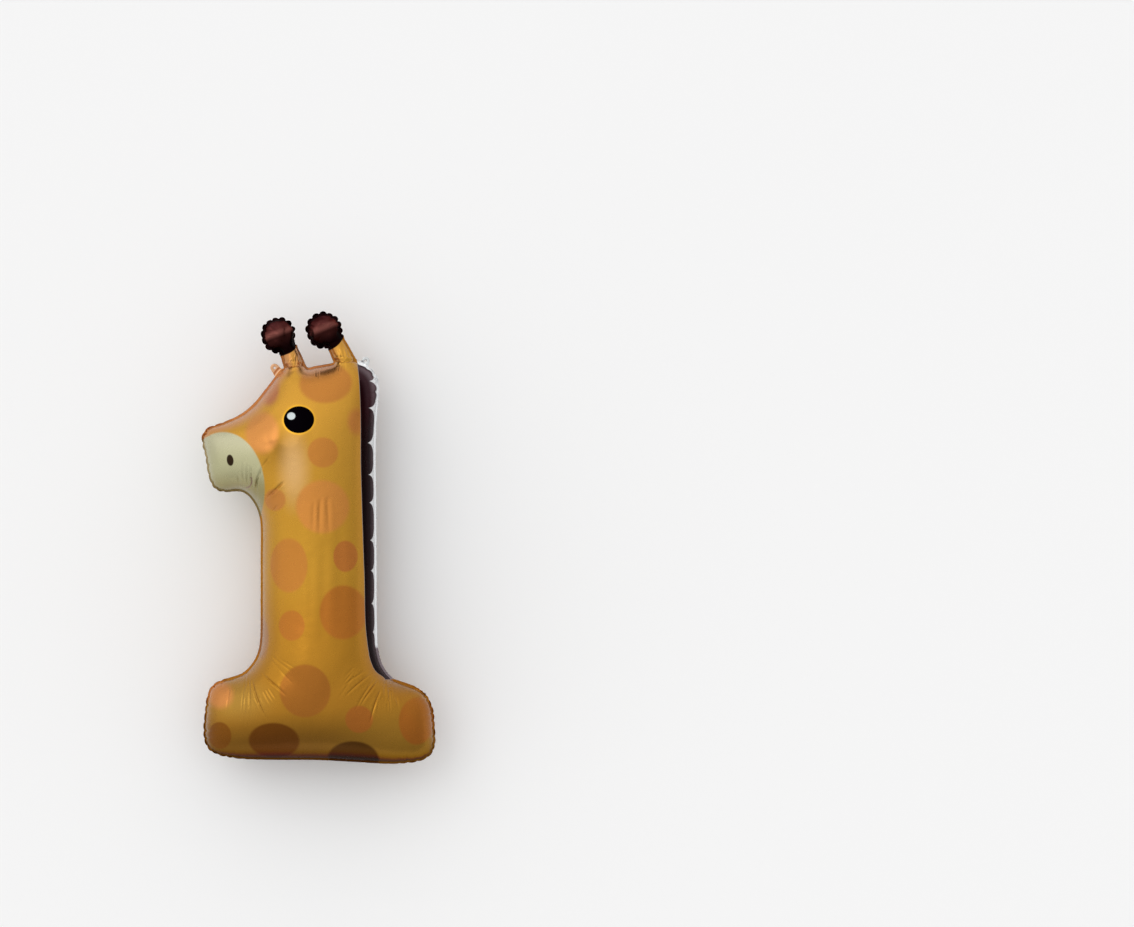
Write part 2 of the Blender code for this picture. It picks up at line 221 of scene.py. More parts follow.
class Seam:
    """The weld's inner line as a dense closed polyline, and what varies along it."""

    KNOB_RIM = 1.25  # the seam within this many knob radii of a knob's middle is the knob's
    KNOB_BLEND = 0.002  # stretch over which that changes

    def __init__(self):
        body = [in_metres(p) for p in MUZZLE_SIDE + FOOT + MANE_SIDE]
        valley = [in_metres(p) for p in VALLEY]
        rough = smooth_loop(body + horn_outline(RIGHT_HORN) + valley + horn_outline(LEFT_HORN), SEAM_STEP)
        self.points = eased(rough, SEAM_ROUNDING, SEAM_STEP)
        steps = np.linalg.norm(np.roll(self.points, -1, axis=0) - self.points, axis=1)
        self.along = np.concatenate([[0], np.cumsum(steps)[:-1]])
        self.length = steps.sum()
        tangent = np.roll(self.points, -1, axis=0) - np.roll(self.points, 1, axis=0)
        self.tangent = tangent / np.linalg.norm(tangent, axis=1)[:, None]
        self.normal = np.stack([self.tangent[:, 1], -self.tangent[:, 0]], axis=1)
        turn = np.roll(self.tangent, -1, axis=0) - np.roll(self.tangent, 1, axis=0)
        self.bend = eased(-(turn * self.normal).sum(axis=1) / (2 * steps), BEND_REACH, SEAM_STEP)
        self.tree = tree_of(self.points)
        knobs = [horn_frame(h)[3] for h in (LEFT_HORN, RIGHT_HORN)]
        to_knob = np.min([np.linalg.norm(self.points - k, axis=1) for k in knobs], axis=0)
        near = (to_knob < self.KNOB_RIM * KNOB_RADIUS).astype(float)
        self.on_knob = eased(near, self.KNOB_BLEND, SEAM_STEP)
        self.on_horn = to_knob < RIGHT_HORN["reach"] + HORN_BASE_WIDTH / 2

    def nearest(self, points):
        """For each point, the index of the nearest seam point and the distance to it."""
        return nearest_in(self.tree, points)

    def at(self, values, along):
        """Values of the seam's polyline, read at distances along it."""
        return np.interp(along, self.along, values, period=self.length)

    def beside(self, along):
        """The seam's points and their outward directions at distances along it."""
        place = np.stack([self.at(self.points[:, k], along) for k in (0, 1)], axis=1)
        normal = np.stack([self.at(self.normal[:, k], along) for k in (0, 1)], axis=1)
        return place, normal


class Puckers:
    """The gathers along the weld: rounded crests with sharp valleys between them.

    They are stronger where the seam turns outward, as it is longer there than the blown-up skin needs."""

    FULL_BEND, LEAST_BEND = 9, 0.15  # radians a metre, and the share of them below which nothing gathers
    INWARD_BEND = 15  # radians a metre of inward bend that leave the skin smooth
    ROUND_KNOB = 0.9  # strength round a knob
    SLIGHT, SLIGHT_FADE = 0.10, 4  # strength on a straight run, and how fast it gives way to the gathers
    FADE = 0.004  # stretch over which the strength changes
    CREST = 0.75  # power of the sine that rounds a crest and sharpens a valley
    # How much a valley narrows over its reach, and the number of reaches after which it narrows no more.
    NARROWING, NARROWED = 1.6, 1.5
    FALL = 1.5  # power by which a valley fades along its reach
    STRAIGHT_PITCH = 1.2  # pitch on a straight run, against that on a tight bend
    TIGHTENING = 0.42  # how much closer the gathers are at the tight curls
    # How uneven the pitch is, the length of its waves, and how much steadier it is round a knob.
    JITTER, JITTER_WAVE, KNOB_STEADIER = 0.38, 0.025, 0.6
    DEPTHS, REACHES = (0.45, 1.15), (0.45, 1.7)  # shares that are drawn for each valley
    KNOB_SHORTER = 0.45  # how much shorter the valleys round a knob are
    SEED, JITTER_SEED = 71, 3.1
    BORROWED = (7, 3)  # a pucker leans by the draw of another: its number times the first, plus the second

    def __init__(self, seam, sizes):
        self.seam = seam
        turning = np.clip(seam.bend / self.FULL_BEND - self.LEAST_BEND, 0, 1)
        self.strength = eased(np.maximum(turning, self.ROUND_KNOB * seam.on_knob), self.FADE, SEAM_STEP)
        inward = np.clip(-seam.bend / self.INWARD_BEND, 0, 1)
        self.strength += self.SLIGHT * (1 - np.clip(self.strength * self.SLIGHT_FADE, 0, 1)) * (1 - inward)
        gathered = np.clip(self.strength, 0, 1)
        pitch = sizes.pucker_pitch * (self.STRAIGHT_PITCH + (1 - self.STRAIGHT_PITCH) * gathered)
        pitch += (sizes.knob_pitch - pitch) * seam.on_knob
        tight = np.linalg.norm(seam.points - in_metres(TIGHT_CURLS), axis=1) / TIGHT_CURLS_REACH
        pitch *= 1 - self.TIGHTENING * np.exp(-(tight**4))
        jitter = self.JITTER * loop_noise(seam.along, seam.length, self.JITTER_WAVE, self.JITTER_SEED)
        jitter *= 1 - self.KNOB_STEADIER * seam.on_knob
        count = np.cumsum(np.gradient(seam.along) / (pitch * (1 + jitter)))
        self.waves = count * round(count[-1]) / count[-1]
        self.total = int(round(self.waves[-1]))
        draw = np.random.default_rng(self.SEED)
        self.depth = draw.uniform(*self.DEPTHS, self.total)
        self.reach = sizes.pucker_reach * draw.uniform(*self.REACHES, self.total)
        self.lift = draw.uniform(-1, 1, self.total)

    def phase(self, along):
        """The pucker's number and the share of it, at distances along the seam."""
        laps = np.floor(along / self.seam.length)
        waves = np.interp(along - laps * self.seam.length, self.seam.along, self.waves) + laps * self.total
        number = np.floor(waves).astype(int)
        return number, waves - number

    def crest(self, along):
        """1 on a crest and 0 in a valley."""
        _, share = self.phase(along)
        return np.abs(np.sin(math.pi * share)) ** self.CREST

    def press(self, along, arc):
        """How far the skin is pressed in, for a point that lies arc behind the seam's point along."""
        number, share = self.phase(along)
        valley = np.where(share < 0.5, number, number + 1) % self.total
        reach = self.reach[valley] * (1 - self.KNOB_SHORTER * self.seam.at(self.seam.on_knob, along))
        # A valley narrows as it runs in, so its walls fall back to the smooth skin.
        side = np.minimum(share, 1 - share) * (1 + self.NARROWING * np.clip(arc / reach, 0, self.NARROWED))
        wall = 1 - np.sin(math.pi * np.clip(side, 0, 0.5)) ** self.CREST
        fade = np.exp(-((arc / reach) ** self.FALL))
        return self.seam.at(self.strength, along) * self.depth[valley] * wall * fade

    def lean(self, along):
        """Which way each pucker's piece of the weld leans, from -1 to 1. It borrows another pucker's draw."""
        number, _ = self.phase(along)
        times, step = self.BORROWED
        return self.lift[(number * times + step) % self.total]

    def zigzag(self, along):
        """How far the weld stands forward of its plane, from -1 to 1, as the two sheets fight over it."""
        number, share = self.phase(along)
        first, second = self.lift[number % self.total], self.lift[(number + 1) % self.total]
        ease = share * share * (3 - 2 * share)
        return self.seam.at(self.strength, along) * (first * (1 - ease) + second * ease)


# The flat sheet

CUT_TOLERANCE = 1e-8


def triangulated(points, loops, keep):
    """Triangles over the points, as their indices, with the loops as edges.

    keep picks the triangles by their middles."""
    edges = [(int(a), int(b)) for loop in loops for a, b in zip(loop, np.roll(loop, -1))]
    cut = geometry.delaunay_2d_cdt([tuple(p) for p in points], edges, [], 0, CUT_TOLERANCE)
    if len(cut[0]) > len(points):
        raise RuntimeError("The sheet's outlines cross")
    source = np.array([o[0] if o else -1 for o in cut[3]])
    triangles = source[np.array(cut[2])]
    return triangles[keep(points[triangles].mean(axis=1))]


def inside(polygon, points):
    """Which points lie inside the closed polygon."""
    x, y = points[:, 0], points[:, 1]
    within = np.zeros(len(points), bool)
    for (x0, y0), (x1, y1) in zip(polygon, np.roll(polygon, -1, axis=0)):
        if y0 != y1:
            crosses = (y0 > y) != (y1 > y)
            within ^= crosses & (x < (x1 - x0) * (y - y0) / (y1 - y0) + x0)
    return within


def untied(loop, reach=60):
    """A closed polyline without the small knots that an offset line ties at inward corners."""
    kept, i = [tuple(loop[0])], 0
    while i < len(loop) - 1:
        for j in range(min(i + reach, len(loop) - 2), i + 1, -1):
            hit = geometry.intersect_line_line_2d(loop[i], loop[i + 1], loop[j], loop[j + 1])
            if hit:
                kept.append((hit.x, hit.y))
                i = j
                break
        i += 1
        kept.append(tuple(loop[i]))
    return kept


def triangle_grid(low, high, pitch):
    """Points of an even triangular grid over a box."""
    rows = np.arange(low[1], high[1], pitch * math.sqrt(3) / 2)
    found = []
    for number, y in enumerate(rows):
        x = np.arange(low[0] + (pitch / 2 if number % 2 else 0.0), high[0], pitch)
        found.append(np.stack([x, np.full(len(x), y)], axis=1))
    return np.vstack(found)


class Film:
    """The height of a soap film blown up from the seam.

    It is a round tube over a straight strip, and lower over a disc."""

    RINGS = (0.0015, 0.0035, 0.0065, 0.0100)  # rows of points inside the seam
    RING_KEPT = 0.95  # a point of a row stays if it is this share of its depth from the seam
    SEAM_PITCH, PITCH = 0.0030, 0.0055
    MOST_STEPS, SOLVED = 3000, 1e-22
    OUTSIDE = 2e-4  # a point this far from the film's mesh isn't over it

    def __init__(self, seam):
        place, normal = seam.beside(np.arange(0, seam.length, self.SEAM_PITCH))
        rings = []
        for depth in self.RINGS:
            ring = place - normal * depth
            rings.append(ring[seam.nearest(ring)[1] > self.RING_KEPT * depth])
        grid = triangle_grid(seam.points.min(axis=0), seam.points.max(axis=0), self.PITCH)
        grid = grid[inside(place, grid)]
        grid = grid[seam.nearest(grid)[1] > self.RINGS[-1] + 0.5 * self.PITCH]
        self.points = np.vstack([place] + rings + [grid])
        edge = np.arange(len(place))
        self.triangles = triangulated(self.points, [edge], lambda middle: inside(place, middle))
        self.square = self.solved(len(place))
        corners = [(x, y, 0) for x, y in self.points]
        self.tree = BVHTree.FromPolygons(corners, [tuple(int(i) for i in t) for t in self.triangles])

    def solved(self, edge_count):
        """The square of the height at each point, from the flat film's equation with zero on the seam."""
        corner = self.points[self.triangles]
        sides = np.roll(corner, -1, axis=1) - np.roll(corner, -2, axis=1)
        area = 0.5 * np.abs(sides[:, 0, 0] * sides[:, 1, 1] - sides[:, 0, 1] * sides[:, 1, 0])
        count = len(self.points)
        load = np.bincount(self.triangles.ravel(), np.repeat(2 * area / 3, 3), count)
        rows, columns, parts = [], [], []
        for i in range(3):
            for j in range(3):
                rows.append(self.triangles[:, i])
                columns.append(self.triangles[:, j])
                parts.append((sides[:, i] * sides[:, j]).sum(axis=1) / (4 * area))
        rows, columns, parts = (np.concatenate(k) for k in (rows, columns, parts))
        free = np.ones(count)
        free[:edge_count] = 0
        diagonal = np.bincount(rows, parts * (rows == columns), count)
        square = np.zeros(count)
        left = load * free
        scaled = left / np.maximum(diagonal, LEAST)
        heading = scaled.copy()
        size = left @ scaled
        for _ in range(self.MOST_STEPS):
            pushed = np.bincount(rows, parts * heading[columns], count) * free
            step = size / (heading @ pushed)
            square += step * heading
            left -= step * pushed
            scaled = left / np.maximum(diagonal, LEAST)
            new_size = left @ scaled
            if new_size < self.SOLVED:
                break
            heading = scaled + heading * new_size / size
            size = new_size
        return square

    def heights(self, points):
        """The film's height over each point, and zero outside the seam."""
        found = np.zeros(len(points))
        for i, (x, y) in enumerate(points):
            _, _, face, distance = self.tree.find_nearest((x, y, 0))
            if distance > self.OUTSIDE:
                continue
            a, b, c = self.triangles[face]
            (ax, ay), (bx, by), (cx, cy) = self.points[a], self.points[b], self.points[c]
            whole = (by - cy) * (ax - cx) + (cx - bx) * (ay - cy)
            u = ((by - cy) * (x - cx) + (cx - bx) * (y - cy)) / whole
            v = ((cy - ay) * (x - cx) + (ax - cx) * (y - cy)) / whole
            found[i] = u * self.square[a] + v * self.square[b] + (1 - u - v) * self.square[c]
        return np.sqrt(np.maximum(found, 0))


def circle(centre, radius, count):
    """Points evenly round a circle."""
    turns = np.linspace(0, 2 * math.pi, count, endpoint=False)
    return centre + radius * np.stack([np.cos(turns), np.sin(turns)], axis=1)


def tab_outline(root, heading, sizes):
    """A ribbon tab's outline from one side of its root round its end to the other, and its hole's centre."""
    start = in_metres(root)
    out = np.array([math.cos(heading), math.sin(heading)])
    side = np.array([out[1], -out[0]])
    centre = start + out * (sizes.tab_reach - sizes.tab_width / 2)
    turns = np.linspace(0, math.pi, TAB_END_POINTS)
    arc = [centre + sizes.tab_width / 2 * (side * math.cos(a) + out * math.sin(a)) for a in turns]
    return arc, centre, side


def flange_width(seam, puckers, sizes):
    """The weld's width at each of the seam's points, in round scallops where the seam is gathered."""
    up = seam.points[:, 1] / FIGURE_HEIGHT
    beside_mane = (seam.points[:, 0] > 0) & ~seam.on_horn
    share = np.clip((MANE_TOP + MANE_TOP_FADE - up) / MANE_TOP_FADE, 0, 1)
    share *= np.clip((up - MANE_FOOT) / MANE_FOOT_FADE, 0, 1)
    plain = sizes.flange_width + (sizes.mane_flange_width - sizes.flange_width) * share * beside_mane
    uneven = 1 + sizes.petal_unevenness * puckers.lean(seam.along)
    plain *= 1 + sizes.petal_widening * uneven * seam.on_knob
    notch = (1 - puckers.crest(seam.along)) * puckers.strength
    return plain * (1 - (sizes.notch + sizes.petal_notch * seam.on_knob) * notch)


class Sheet:
    """The flat mesh that both skins share.

    It has the weld with its tabs, even rows along the seam, and the middle."""

    SPACING, GATHERED_SPACING, HORN_SPACING = 0.0024, 0.0019, 0.0015  # of the points along the seam
    GATHERED = 0.35  # strength of the gathers from which the spacing is closer
    WELD_ROWS = (0.36, 0.72)  # shares of the weld's width
    TAB_PITCH, HOLE_POINTS = 0.0016, 20
    TAB_ROOT = 1.15  # widths of the weld beyond which a tab has its own grid
    CLEARANCE, LOOP_CLEARANCE = 0.0009, 0.0011  # of free points from the outlines
    KEPT = 0.93  # an offset point stays if it is this share of the offset from the seam
    # Where the shape is narrow, the rows run in this share of the way to the point where they would meet.
    NARROW, MEETING, FIRST_TRIAL, TRIAL_STEP = 0.55, 0.97, 0.004, 0.001
    DEPTH_FADE, LOWEST_OVER = 0.005, 6  # a row's depth is the least over this many points on each side, eased
    FROM_RAILS = 0.45  # of a grid point from a crease's rails, in pitches of the grid
    LOOK_BACK = 400  # crease points that a new one is compared with

    def __init__(self, seam, puckers, film, sizes):
        spacing = np.where(seam.on_horn, self.HORN_SPACING, self.SPACING)
        gathered = puckers.strength > self.GATHERED
        spacing = np.where(gathered, np.minimum(spacing, self.GATHERED_SPACING), spacing)
        count = np.cumsum(np.gradient(seam.along) / spacing)
        self.whole = int(round(count[-1]))
        shares = (np.arange(self.whole) + 0.5) / self.whole
        self.seam_along = np.interp(shares * count[-1], count, seam.along)
        self.seam_place, normal = seam.beside(self.seam_along)
        self.seam_normal = normal / np.linalg.norm(normal, axis=1)[:, None]
        self.lay_weld(seam, puckers, sizes)
        self.lay_rows(seam)
        self.lay_middle(seam)
        self.measure(seam, film)

    def offset_row(self, seam, width):
        """Points outside the seam by the widths, without those that come too near it elsewhere."""
        row = self.seam_place + self.seam_normal * width[:, None]
        return row[seam.nearest(row)[1] > self.KEPT * width]

    def lay_weld(self, seam, puckers, sizes):
        """The weld outside the seam, with both tabs and their punched holes."""
        width = seam.at(flange_width(seam, puckers, sizes), self.seam_along)
        edge = self.offset_row(seam, width)
        outline = untied(np.roll(edge, len(edge) // 2, axis=0))
        holes = []
        for root, heading in TABS:
            arc, centre, side = tab_outline(root, heading, sizes)
            reach = np.array(outline) - in_metres(root)
            near = np.linalg.norm(reach, axis=1) < TAB_ROOT_REACH * sizes.tab_width
            covered = near & (np.abs(reach @ side) < TAB_COVER * sizes.tab_width)
            first = int(np.argmax(covered & ~np.roll(covered, 1)))
            turned = outline[first:] + outline[:first]
            outline = [tuple(p) for p in arc] + turned[int(covered.sum()):]
            holes.append(circle(centre, sizes.tab_hole_radius, self.HOLE_POINTS))
        outline = np.array(outline)
        loops = [self.seam_place, outline] + holes
        loose = [self.offset_row(seam, width * share) for share in self.WELD_ROWS]
        loose += [self.tab_fill(seam, root, outline, holes, sizes) for root, _ in TABS]
        self.points = np.vstack(loops + loose)
        starts = np.cumsum([0] + [len(loop) for loop in loops])
        index = [np.arange(a, b) for a, b in zip(starts, starts[1:])]

        def in_weld(middle):
            kept = inside(outline, middle) & ~inside(self.seam_place, middle)
            for hole in holes:
                kept &= ~inside(hole, middle)
            return kept

        self.weld = triangulated(self.points, index, in_weld)
        self.weld_count = len(self.points)

    def tab_fill(self, seam, root, outline, holes, sizes):
        """An even grid over a tab, clear of its edge, its hole and the weld beside it."""
        start = in_metres(root)
        reach = TAB_PATCH * sizes.tab_width
        patch = triangle_grid(start - reach, start + reach, self.TAB_PITCH)
        patch = patch[inside(outline, patch) & ~inside(self.seam_place, patch)]
        for loop in [outline] + holes:
            patch = patch[nearest_in(tree_of(loop), patch)[1] > self.CLEARANCE]
        return patch[seam.nearest(patch)[1] > sizes.flange_width * self.TAB_ROOT]

    def lay_rows(self, seam):
        """Rows along the seam. They are packed towards it, so that they are even on the steep skin."""
        depth = np.full(self.whole, STRIP_DEPTH)
        for trial in np.arange(self.FIRST_TRIAL, STRIP_DEPTH / self.NARROW, self.TRIAL_STEP):
            probe = self.seam_place - self.seam_normal * trial
            crowded = seam.nearest(probe)[1] < self.MEETING * trial
            depth = np.where(crowded, np.minimum(depth, self.NARROW * trial), depth)
        spacing = seam.length / self.whole
        shifts = range(-self.LOWEST_OVER, self.LOWEST_OVER + 1)
        lowest = np.min([np.roll(depth, k) for k in shifts], axis=0)
        row_depth = eased(lowest, self.DEPTH_FADE, spacing)
        self.rows = [np.arange(self.whole)]
        for row in range(1, STRIP_ROWS + 1):
            inward = row_depth * (row / STRIP_ROWS) ** 2
            ring = self.seam_place - self.seam_normal * inward[:, None]
            self.rows.append(len(self.points) + np.arange(self.whole))
            self.points = np.vstack([self.points, ring])
        quads = []
        for outer, inner in zip(self.rows, self.rows[1:]):
            a, b = outer, np.roll(outer, -1)
            c, d = np.roll(inner, -1), inner
            quads += [np.stack([a, b, c], axis=1), np.stack([a, c, d], axis=1)]
        self.strip = np.vstack(quads)

    def lay_middle(self, seam):
        """An even grid inside the rows, with closer points along every crease."""
        ring = self.rows[-1]
        loop = self.points[ring]
        grid = triangle_grid(seam.points.min(axis=0), seam.points.max(axis=0), FILL_PITCH)
        rails = np.vstack([crease.rails() for crease in CREASES if crease.sharp])
        grid = grid[nearest_in(tree_of(rails), grid)[1] > self.FROM_RAILS * FILL_PITCH]
        spaced = []
        for p in rails:
            recent = spaced[-self.LOOK_BACK:]
            if all((p[0] - q[0]) ** 2 + (p[1] - q[1]) ** 2 > Crease.PITCH**2 for q in recent):
                spaced.append(p)
        free = np.vstack([grid, np.array(spaced)])
        free = free[inside(loop, free)]
        free = free[nearest_in(tree_of(loop), free)[1] > self.LOOP_CLEARANCE]
        local = np.vstack([loop, free])
        made = triangulated(local, [np.arange(len(loop))], lambda middle: inside(loop, middle))
        source = np.concatenate([ring, len(self.points) + np.arange(len(free))])
        self.points = np.vstack([self.points, free])
        self.middle = source[made]

    def measure(self, seam, film):
        """Each point's place along the seam and behind it, and the height that the film gives it."""
        index, self.distance = seam.nearest(self.points)
        offset = ((self.points - seam.points[index]) * seam.tangent[index]).sum(axis=1)
        self.along = seam.along[index] + offset
        self.outward = np.column_stack([seam.normal[index], np.zeros(len(index))])
        self.in_weld = np.arange(len(self.points)) < self.weld_count
        self.in_weld[:self.whole] = False
        self.height = np.where(self.in_weld, 0.0, film.heights(self.points))
        self.height[:self.whole] = 0
        self.arc = CURVED_SKIN * np.hypot(self.height, np.where(self.in_weld, 0, self.distance))


# Creases

class Crease:
    """A fold in the skin, along a bowed line between two points of the print."""

    STEPS = 40
    PITCH = 0.0007  # closest that mesh points beside a fold may be
    RAILS = (0, 0.55, -0.55, 1.3, -1.3, 2.4, -2.4)  # rows of mesh points, in widths from the fold
    REACH = 5  # widths that a fold reaches
    SHOULDER, SHOULDER_PLACE = 0.42, 2.1  # height, against the fold's depth, and place, in widths
    SHOULDER_SPREAD, SHARPNESS = 0.9, 1.1
    DEEPEST, BLUNTNESS = 0.7, 0.8  # powers: where along the fold it is deepest, and how blunt its ends are

    def __init__(self, start, end, depth_mm, width_mm, bow=0.0, sharp=True, both=False):
        self.start, self.end = in_metres(start), in_metres(end)
        self.depth, self.width = depth_mm / 1000, width_mm / 1000
        self.sharp, self.both = sharp, both
        chord = self.end - self.start
        self.bend = (self.start + self.end) / 2 + bow * np.array([chord[1], -chord[0]])
        t = np.linspace(0, 1, self.STEPS + 1)[:, None]
        self.line = (1 - t) ** 2 * self.start + 2 * t * (1 - t) * self.bend + t**2 * self.end
        heading = np.gradient(self.line, axis=0)
        heading /= np.linalg.norm(heading, axis=1)[:, None]
        self.side = np.stack([heading[:, 1], -heading[:, 0]], axis=1)

    def rails(self):
        """Mesh points along the fold and beside it."""
        length = np.linalg.norm(np.diff(self.line, axis=0), axis=1).sum()
        picks = np.linspace(0, self.STEPS, max(4, int(length / Sheet.SPACING))).round().astype(int)
        return np.vstack([self.line[picks] + self.side[picks] * k * self.width for k in self.RAILS])

    def press(self, points):
        """How far the fold moves the skin in at each point. Its shoulders stand a little proud."""
        reach = self.REACH * self.width
        low, high = self.line.min(axis=0) - reach, self.line.max(axis=0) + reach
        near = np.flatnonzero(((points > low) & (points < high)).all(axis=1))
        moved = np.zeros(len(points))
        if not len(near):
            return moved
        gap = points[near][:, None] - self.line[None]
        closest = (gap**2).sum(axis=2).argmin(axis=1)
        offset = gap[np.arange(len(near)), closest]
        across = (offset * self.side[closest]).sum(axis=1) / self.width
        beyond = np.sqrt(np.maximum((offset**2).sum(axis=1) / self.width**2 - across**2, 0))
        taper = np.sin(math.pi * (closest / self.STEPS) ** self.DEEPEST) ** self.BLUNTNESS
        taper *= np.exp(-(beyond**2))
        if self.sharp:
            shoulder = np.exp(-((np.abs(across) - self.SHOULDER_PLACE) ** 2) / self.SHOULDER_SPREAD)
            shape = np.exp(-np.abs(across) ** self.SHARPNESS) - self.SHOULDER * shoulder
        else:
            shape = np.exp(-0.5 * across**2)
        moved[near] = self.depth * taper * shape
        return moved


# What is drawn for each crease of a fan: shares of its place, length, start, depth and width, and its bow.
FAN_HEADINGS, FAN_LENGTHS, FAN_STARTS = (-0.28, 0.28), (0.62, 1.1), (0.6, 1.3)
FAN_DEPTHS, FAN_WIDTHS, FAN_BOWS = (0.55, 1.1), (0.75, 1.2), (-0.04, 0.04)


def fan(centre, first, last, count, reach, depth_mm, width_mm, start, seed):
    """Creases that spread from a corner of the seam, between two headings in degrees."""
    draw = np.random.default_rng(seed)
    corner = np.array(centre)
    made = []
    for k in range(count):
        angle = math.radians(first + (last - first) * (k + 0.5 + draw.uniform(*FAN_HEADINGS)) / count)
        out = np.array([math.cos(angle), math.sin(angle)])
        end = corner + out * reach * draw.uniform(*FAN_LENGTHS)
        begin = corner + out * reach * start * draw.uniform(*FAN_STARTS)
        depth, width = depth_mm * draw.uniform(*FAN_DEPTHS), width_mm * draw.uniform(*FAN_WIDTHS)
        made.append(Crease(begin, end, depth, width, draw.uniform(*FAN_BOWS)))
    return made


# Sharp creases: both ends in thousandths of the figure's height, depth and width in millimetres, and bow.
FOLDS = [
    # From the cheek over the edge of the muzzle patch, down to the chin.
    ((-110, 677), (-124, 656), 1.3, 1.3, -0.05),
    ((-123, 658), (-142, 598), 1.9, 1.5, 0.06),
    # Under the cheek, where the neck bends.
    ((-75, 625), (-121, 585), 2.8, 1.7, -0.04),
    ((-82, 612), (-116, 588), 1.2, 1.3, -0.06),
    ((-90, 574), (-106, 556), 1.0, 1.3, -0.08),
    ((-92, 560), (-108, 548), 0.9, 1.2, -0.08),
    # Down the muzzle beside the mouth.
    ((-167, 668), (-164, 622), 1.3, 1.2, 0.04),
    ((-157, 664), (-156, 608), 1.6, 1.2, 0.03),
    ((-149, 660), (-145, 604), 1.5, 1.3, 0.04),
    ((-134, 640), (-137, 592), 1.7, 1.3, 0.04),
    ((-178, 640), (-174, 612), 0.9, 1.4, 0.03),
    # Down the middle of the stem, in the large spot.
    ((5, 588), (4, 506), 1.9, 3.0, 0.01),
    ((21, 592), (24, 508), 1.6, 3.2, -0.01),
    ((-9, 580), (-11, 512), 1.1, 2.8, 0.01),
    # Gathers in the top seam, between the horns and under the right one.
    ((-6, 874), (-5, 852), 1.3, 1.0),
    ((-2, 874), (-1, 850), 1.3, 1.0),
    ((41, 884), (42, 862), 1.2, 1.0),
    ((48, 886), (49, 864), 1.2, 1.0),
    ((55, 887), (57, 868), 1.0, 1.0),
    # The left horn's foot, which flops forward.
    ((-82, 879), (-27, 883), 4.6, 2.4, -0.06),
    ((-70, 880), (-66, 902), 1.5, 1.2, 0.05),
    ((-62, 879), (-60, 908), 1.7, 1.2, -0.05),
    ((-53, 880), (-55, 904), 1.7, 1.2, -0.05),
    ((-43, 884), (-49, 912), 1.3, 1.2, -0.05),
    # The right horn's foot.
    ((30, 894), (86, 893), 4.6, 2.2, 0.04),
    ((-96, 934), (-70, 918), 1.6, 1.6, 0.05),
    ((16, 926), (44, 938), 1.6, 1.6, -0.05),
    ((46, 896), (40, 918), 1.4, 1.2, 0.04),
    ((56, 896), (48, 926), 1.2, 1.3, 0.04),
    ((66, 896), (57, 920), 1.4, 1.2, 0.04),
    # Left half of the foot: the long dark fold, the streak towards the middle and the hatching between them.
    ((-147, 186), (-111, 100), 2.2, 1.5, 0.08),
    ((-125, 203), (-69, 154), 1.5, 1.3, -0.04),
    ((-114, 194), (-84, 166), 0.8, 1.1, -0.03),
    ((-121, 166), (-103, 133), 0.9, 1.1, 0.03),
    ((-115, 169), (-97, 141), 0.9, 1.1, 0.03),
    ((-108, 171), (-92, 148), 0.8, 1.1, 0.03),
    # Right half of the foot.
    ((118, 204), (60, 154), 1.6, 1.3, 0.05),
    ((112, 214), (50, 172), 1.0, 1.4, 0.05),
    ((131, 186), (93, 133), 1.9, 1.4, 0.05),
    ((124, 192), (82, 124), 1.2, 1.4, 0.05),
    ((136, 166), (114, 95), 2.0, 1.4, 0.05),
]
# Fans of creases: the corner, the first and last headings, how many, their reach, the depth and width in
# millimetres, the share of the reach where they start, and the seed.
FANS = [
    ((-158, 268), -96, -87, 5, 168, 1.1, 1.15, 0.56, 5),
    ((-192, 240), -98, -82, 3, 120, 0.7, 1.4, 0.5, 8),
    ((146, 262), -97, -76, 8, 165, 1.2, 1.15, 0.55, 11),
    ((112, 250), -140, -118, 3, 110, 0.8, 1.5, 0.4, 17),
    ((-132, 262), -50, -25, 3, 105, 0.7, 1.6, 0.4, 19),
]
# Wide, soft tension folds on both sheets, which only turn the light. The columns are those of the sharp ones.
SOFT_FOLDS = [
    ((-100, 716), (-60, 610), 2.0, 9, 0.05),
    ((-170, 740), (-60, 840), 1.6, 12, -0.10),
    ((-40, 600), (-46, 290), 1.6, 8, 0.01),
    ((46, 560), (50, 270), 1.4, 7, -0.01),
    ((14, 500), (10, 240), 1.5, 6, 0.0),
    ((-16, 470), (-18, 300), 0.9, 5, 0.0),
    ((-120, 250), (20, 90), 2.2, 14, -0.10),
    ((110, 250), (-10, 100), 1.8, 14, 0.10),
    ((-190, 190), (-180, 60), 1.6, 12, 0.05),
    ((190, 180), (176, 60), 1.6, 12, -0.05),
    ((-60, 860), (60, 780), 1.4, 14, 0.05),
]
CREASES = [Crease(*fold) for fold in FOLDS]
CREASES += [crease for corner in FANS for crease in fan(*corner)]
CREASES += [Crease(*fold, sharp=False, both=True) for fold in SOFT_FOLDS]


# The skins

COARSE_NOISE, FINE_NOISE = 70, 160  # bumps in about a metre
COARSE_SEED, FINE_SEED, FINE_SHARE = 5.0, 9.0, 0.5
DENT_SEED, DENT_SEED_STEP = 2.0, 4.0
CRUMPLE_FADE, DENT_FADE = 0.020, 0.012  # distance from the seam over which they come in
KNOB_SHALLOWER = 0.25  # how much shallower the gathers round a knob are
HORN_MARGIN, KNOB_MARGIN = 0.008, 0.010  # how far beyond a horn's skin its weld turns with it
MANE_FALL = 0.2  # share of the weld's fall beside the mane
CURL_BIAS = 0.2  # above 0, more of the weld's pieces curl forward than back
CURLING_WIDTHS = 1.4  # widths of the plain weld over which its curl grows
KNEE = 0.97  # share of the resting depth where the back begins to flatten


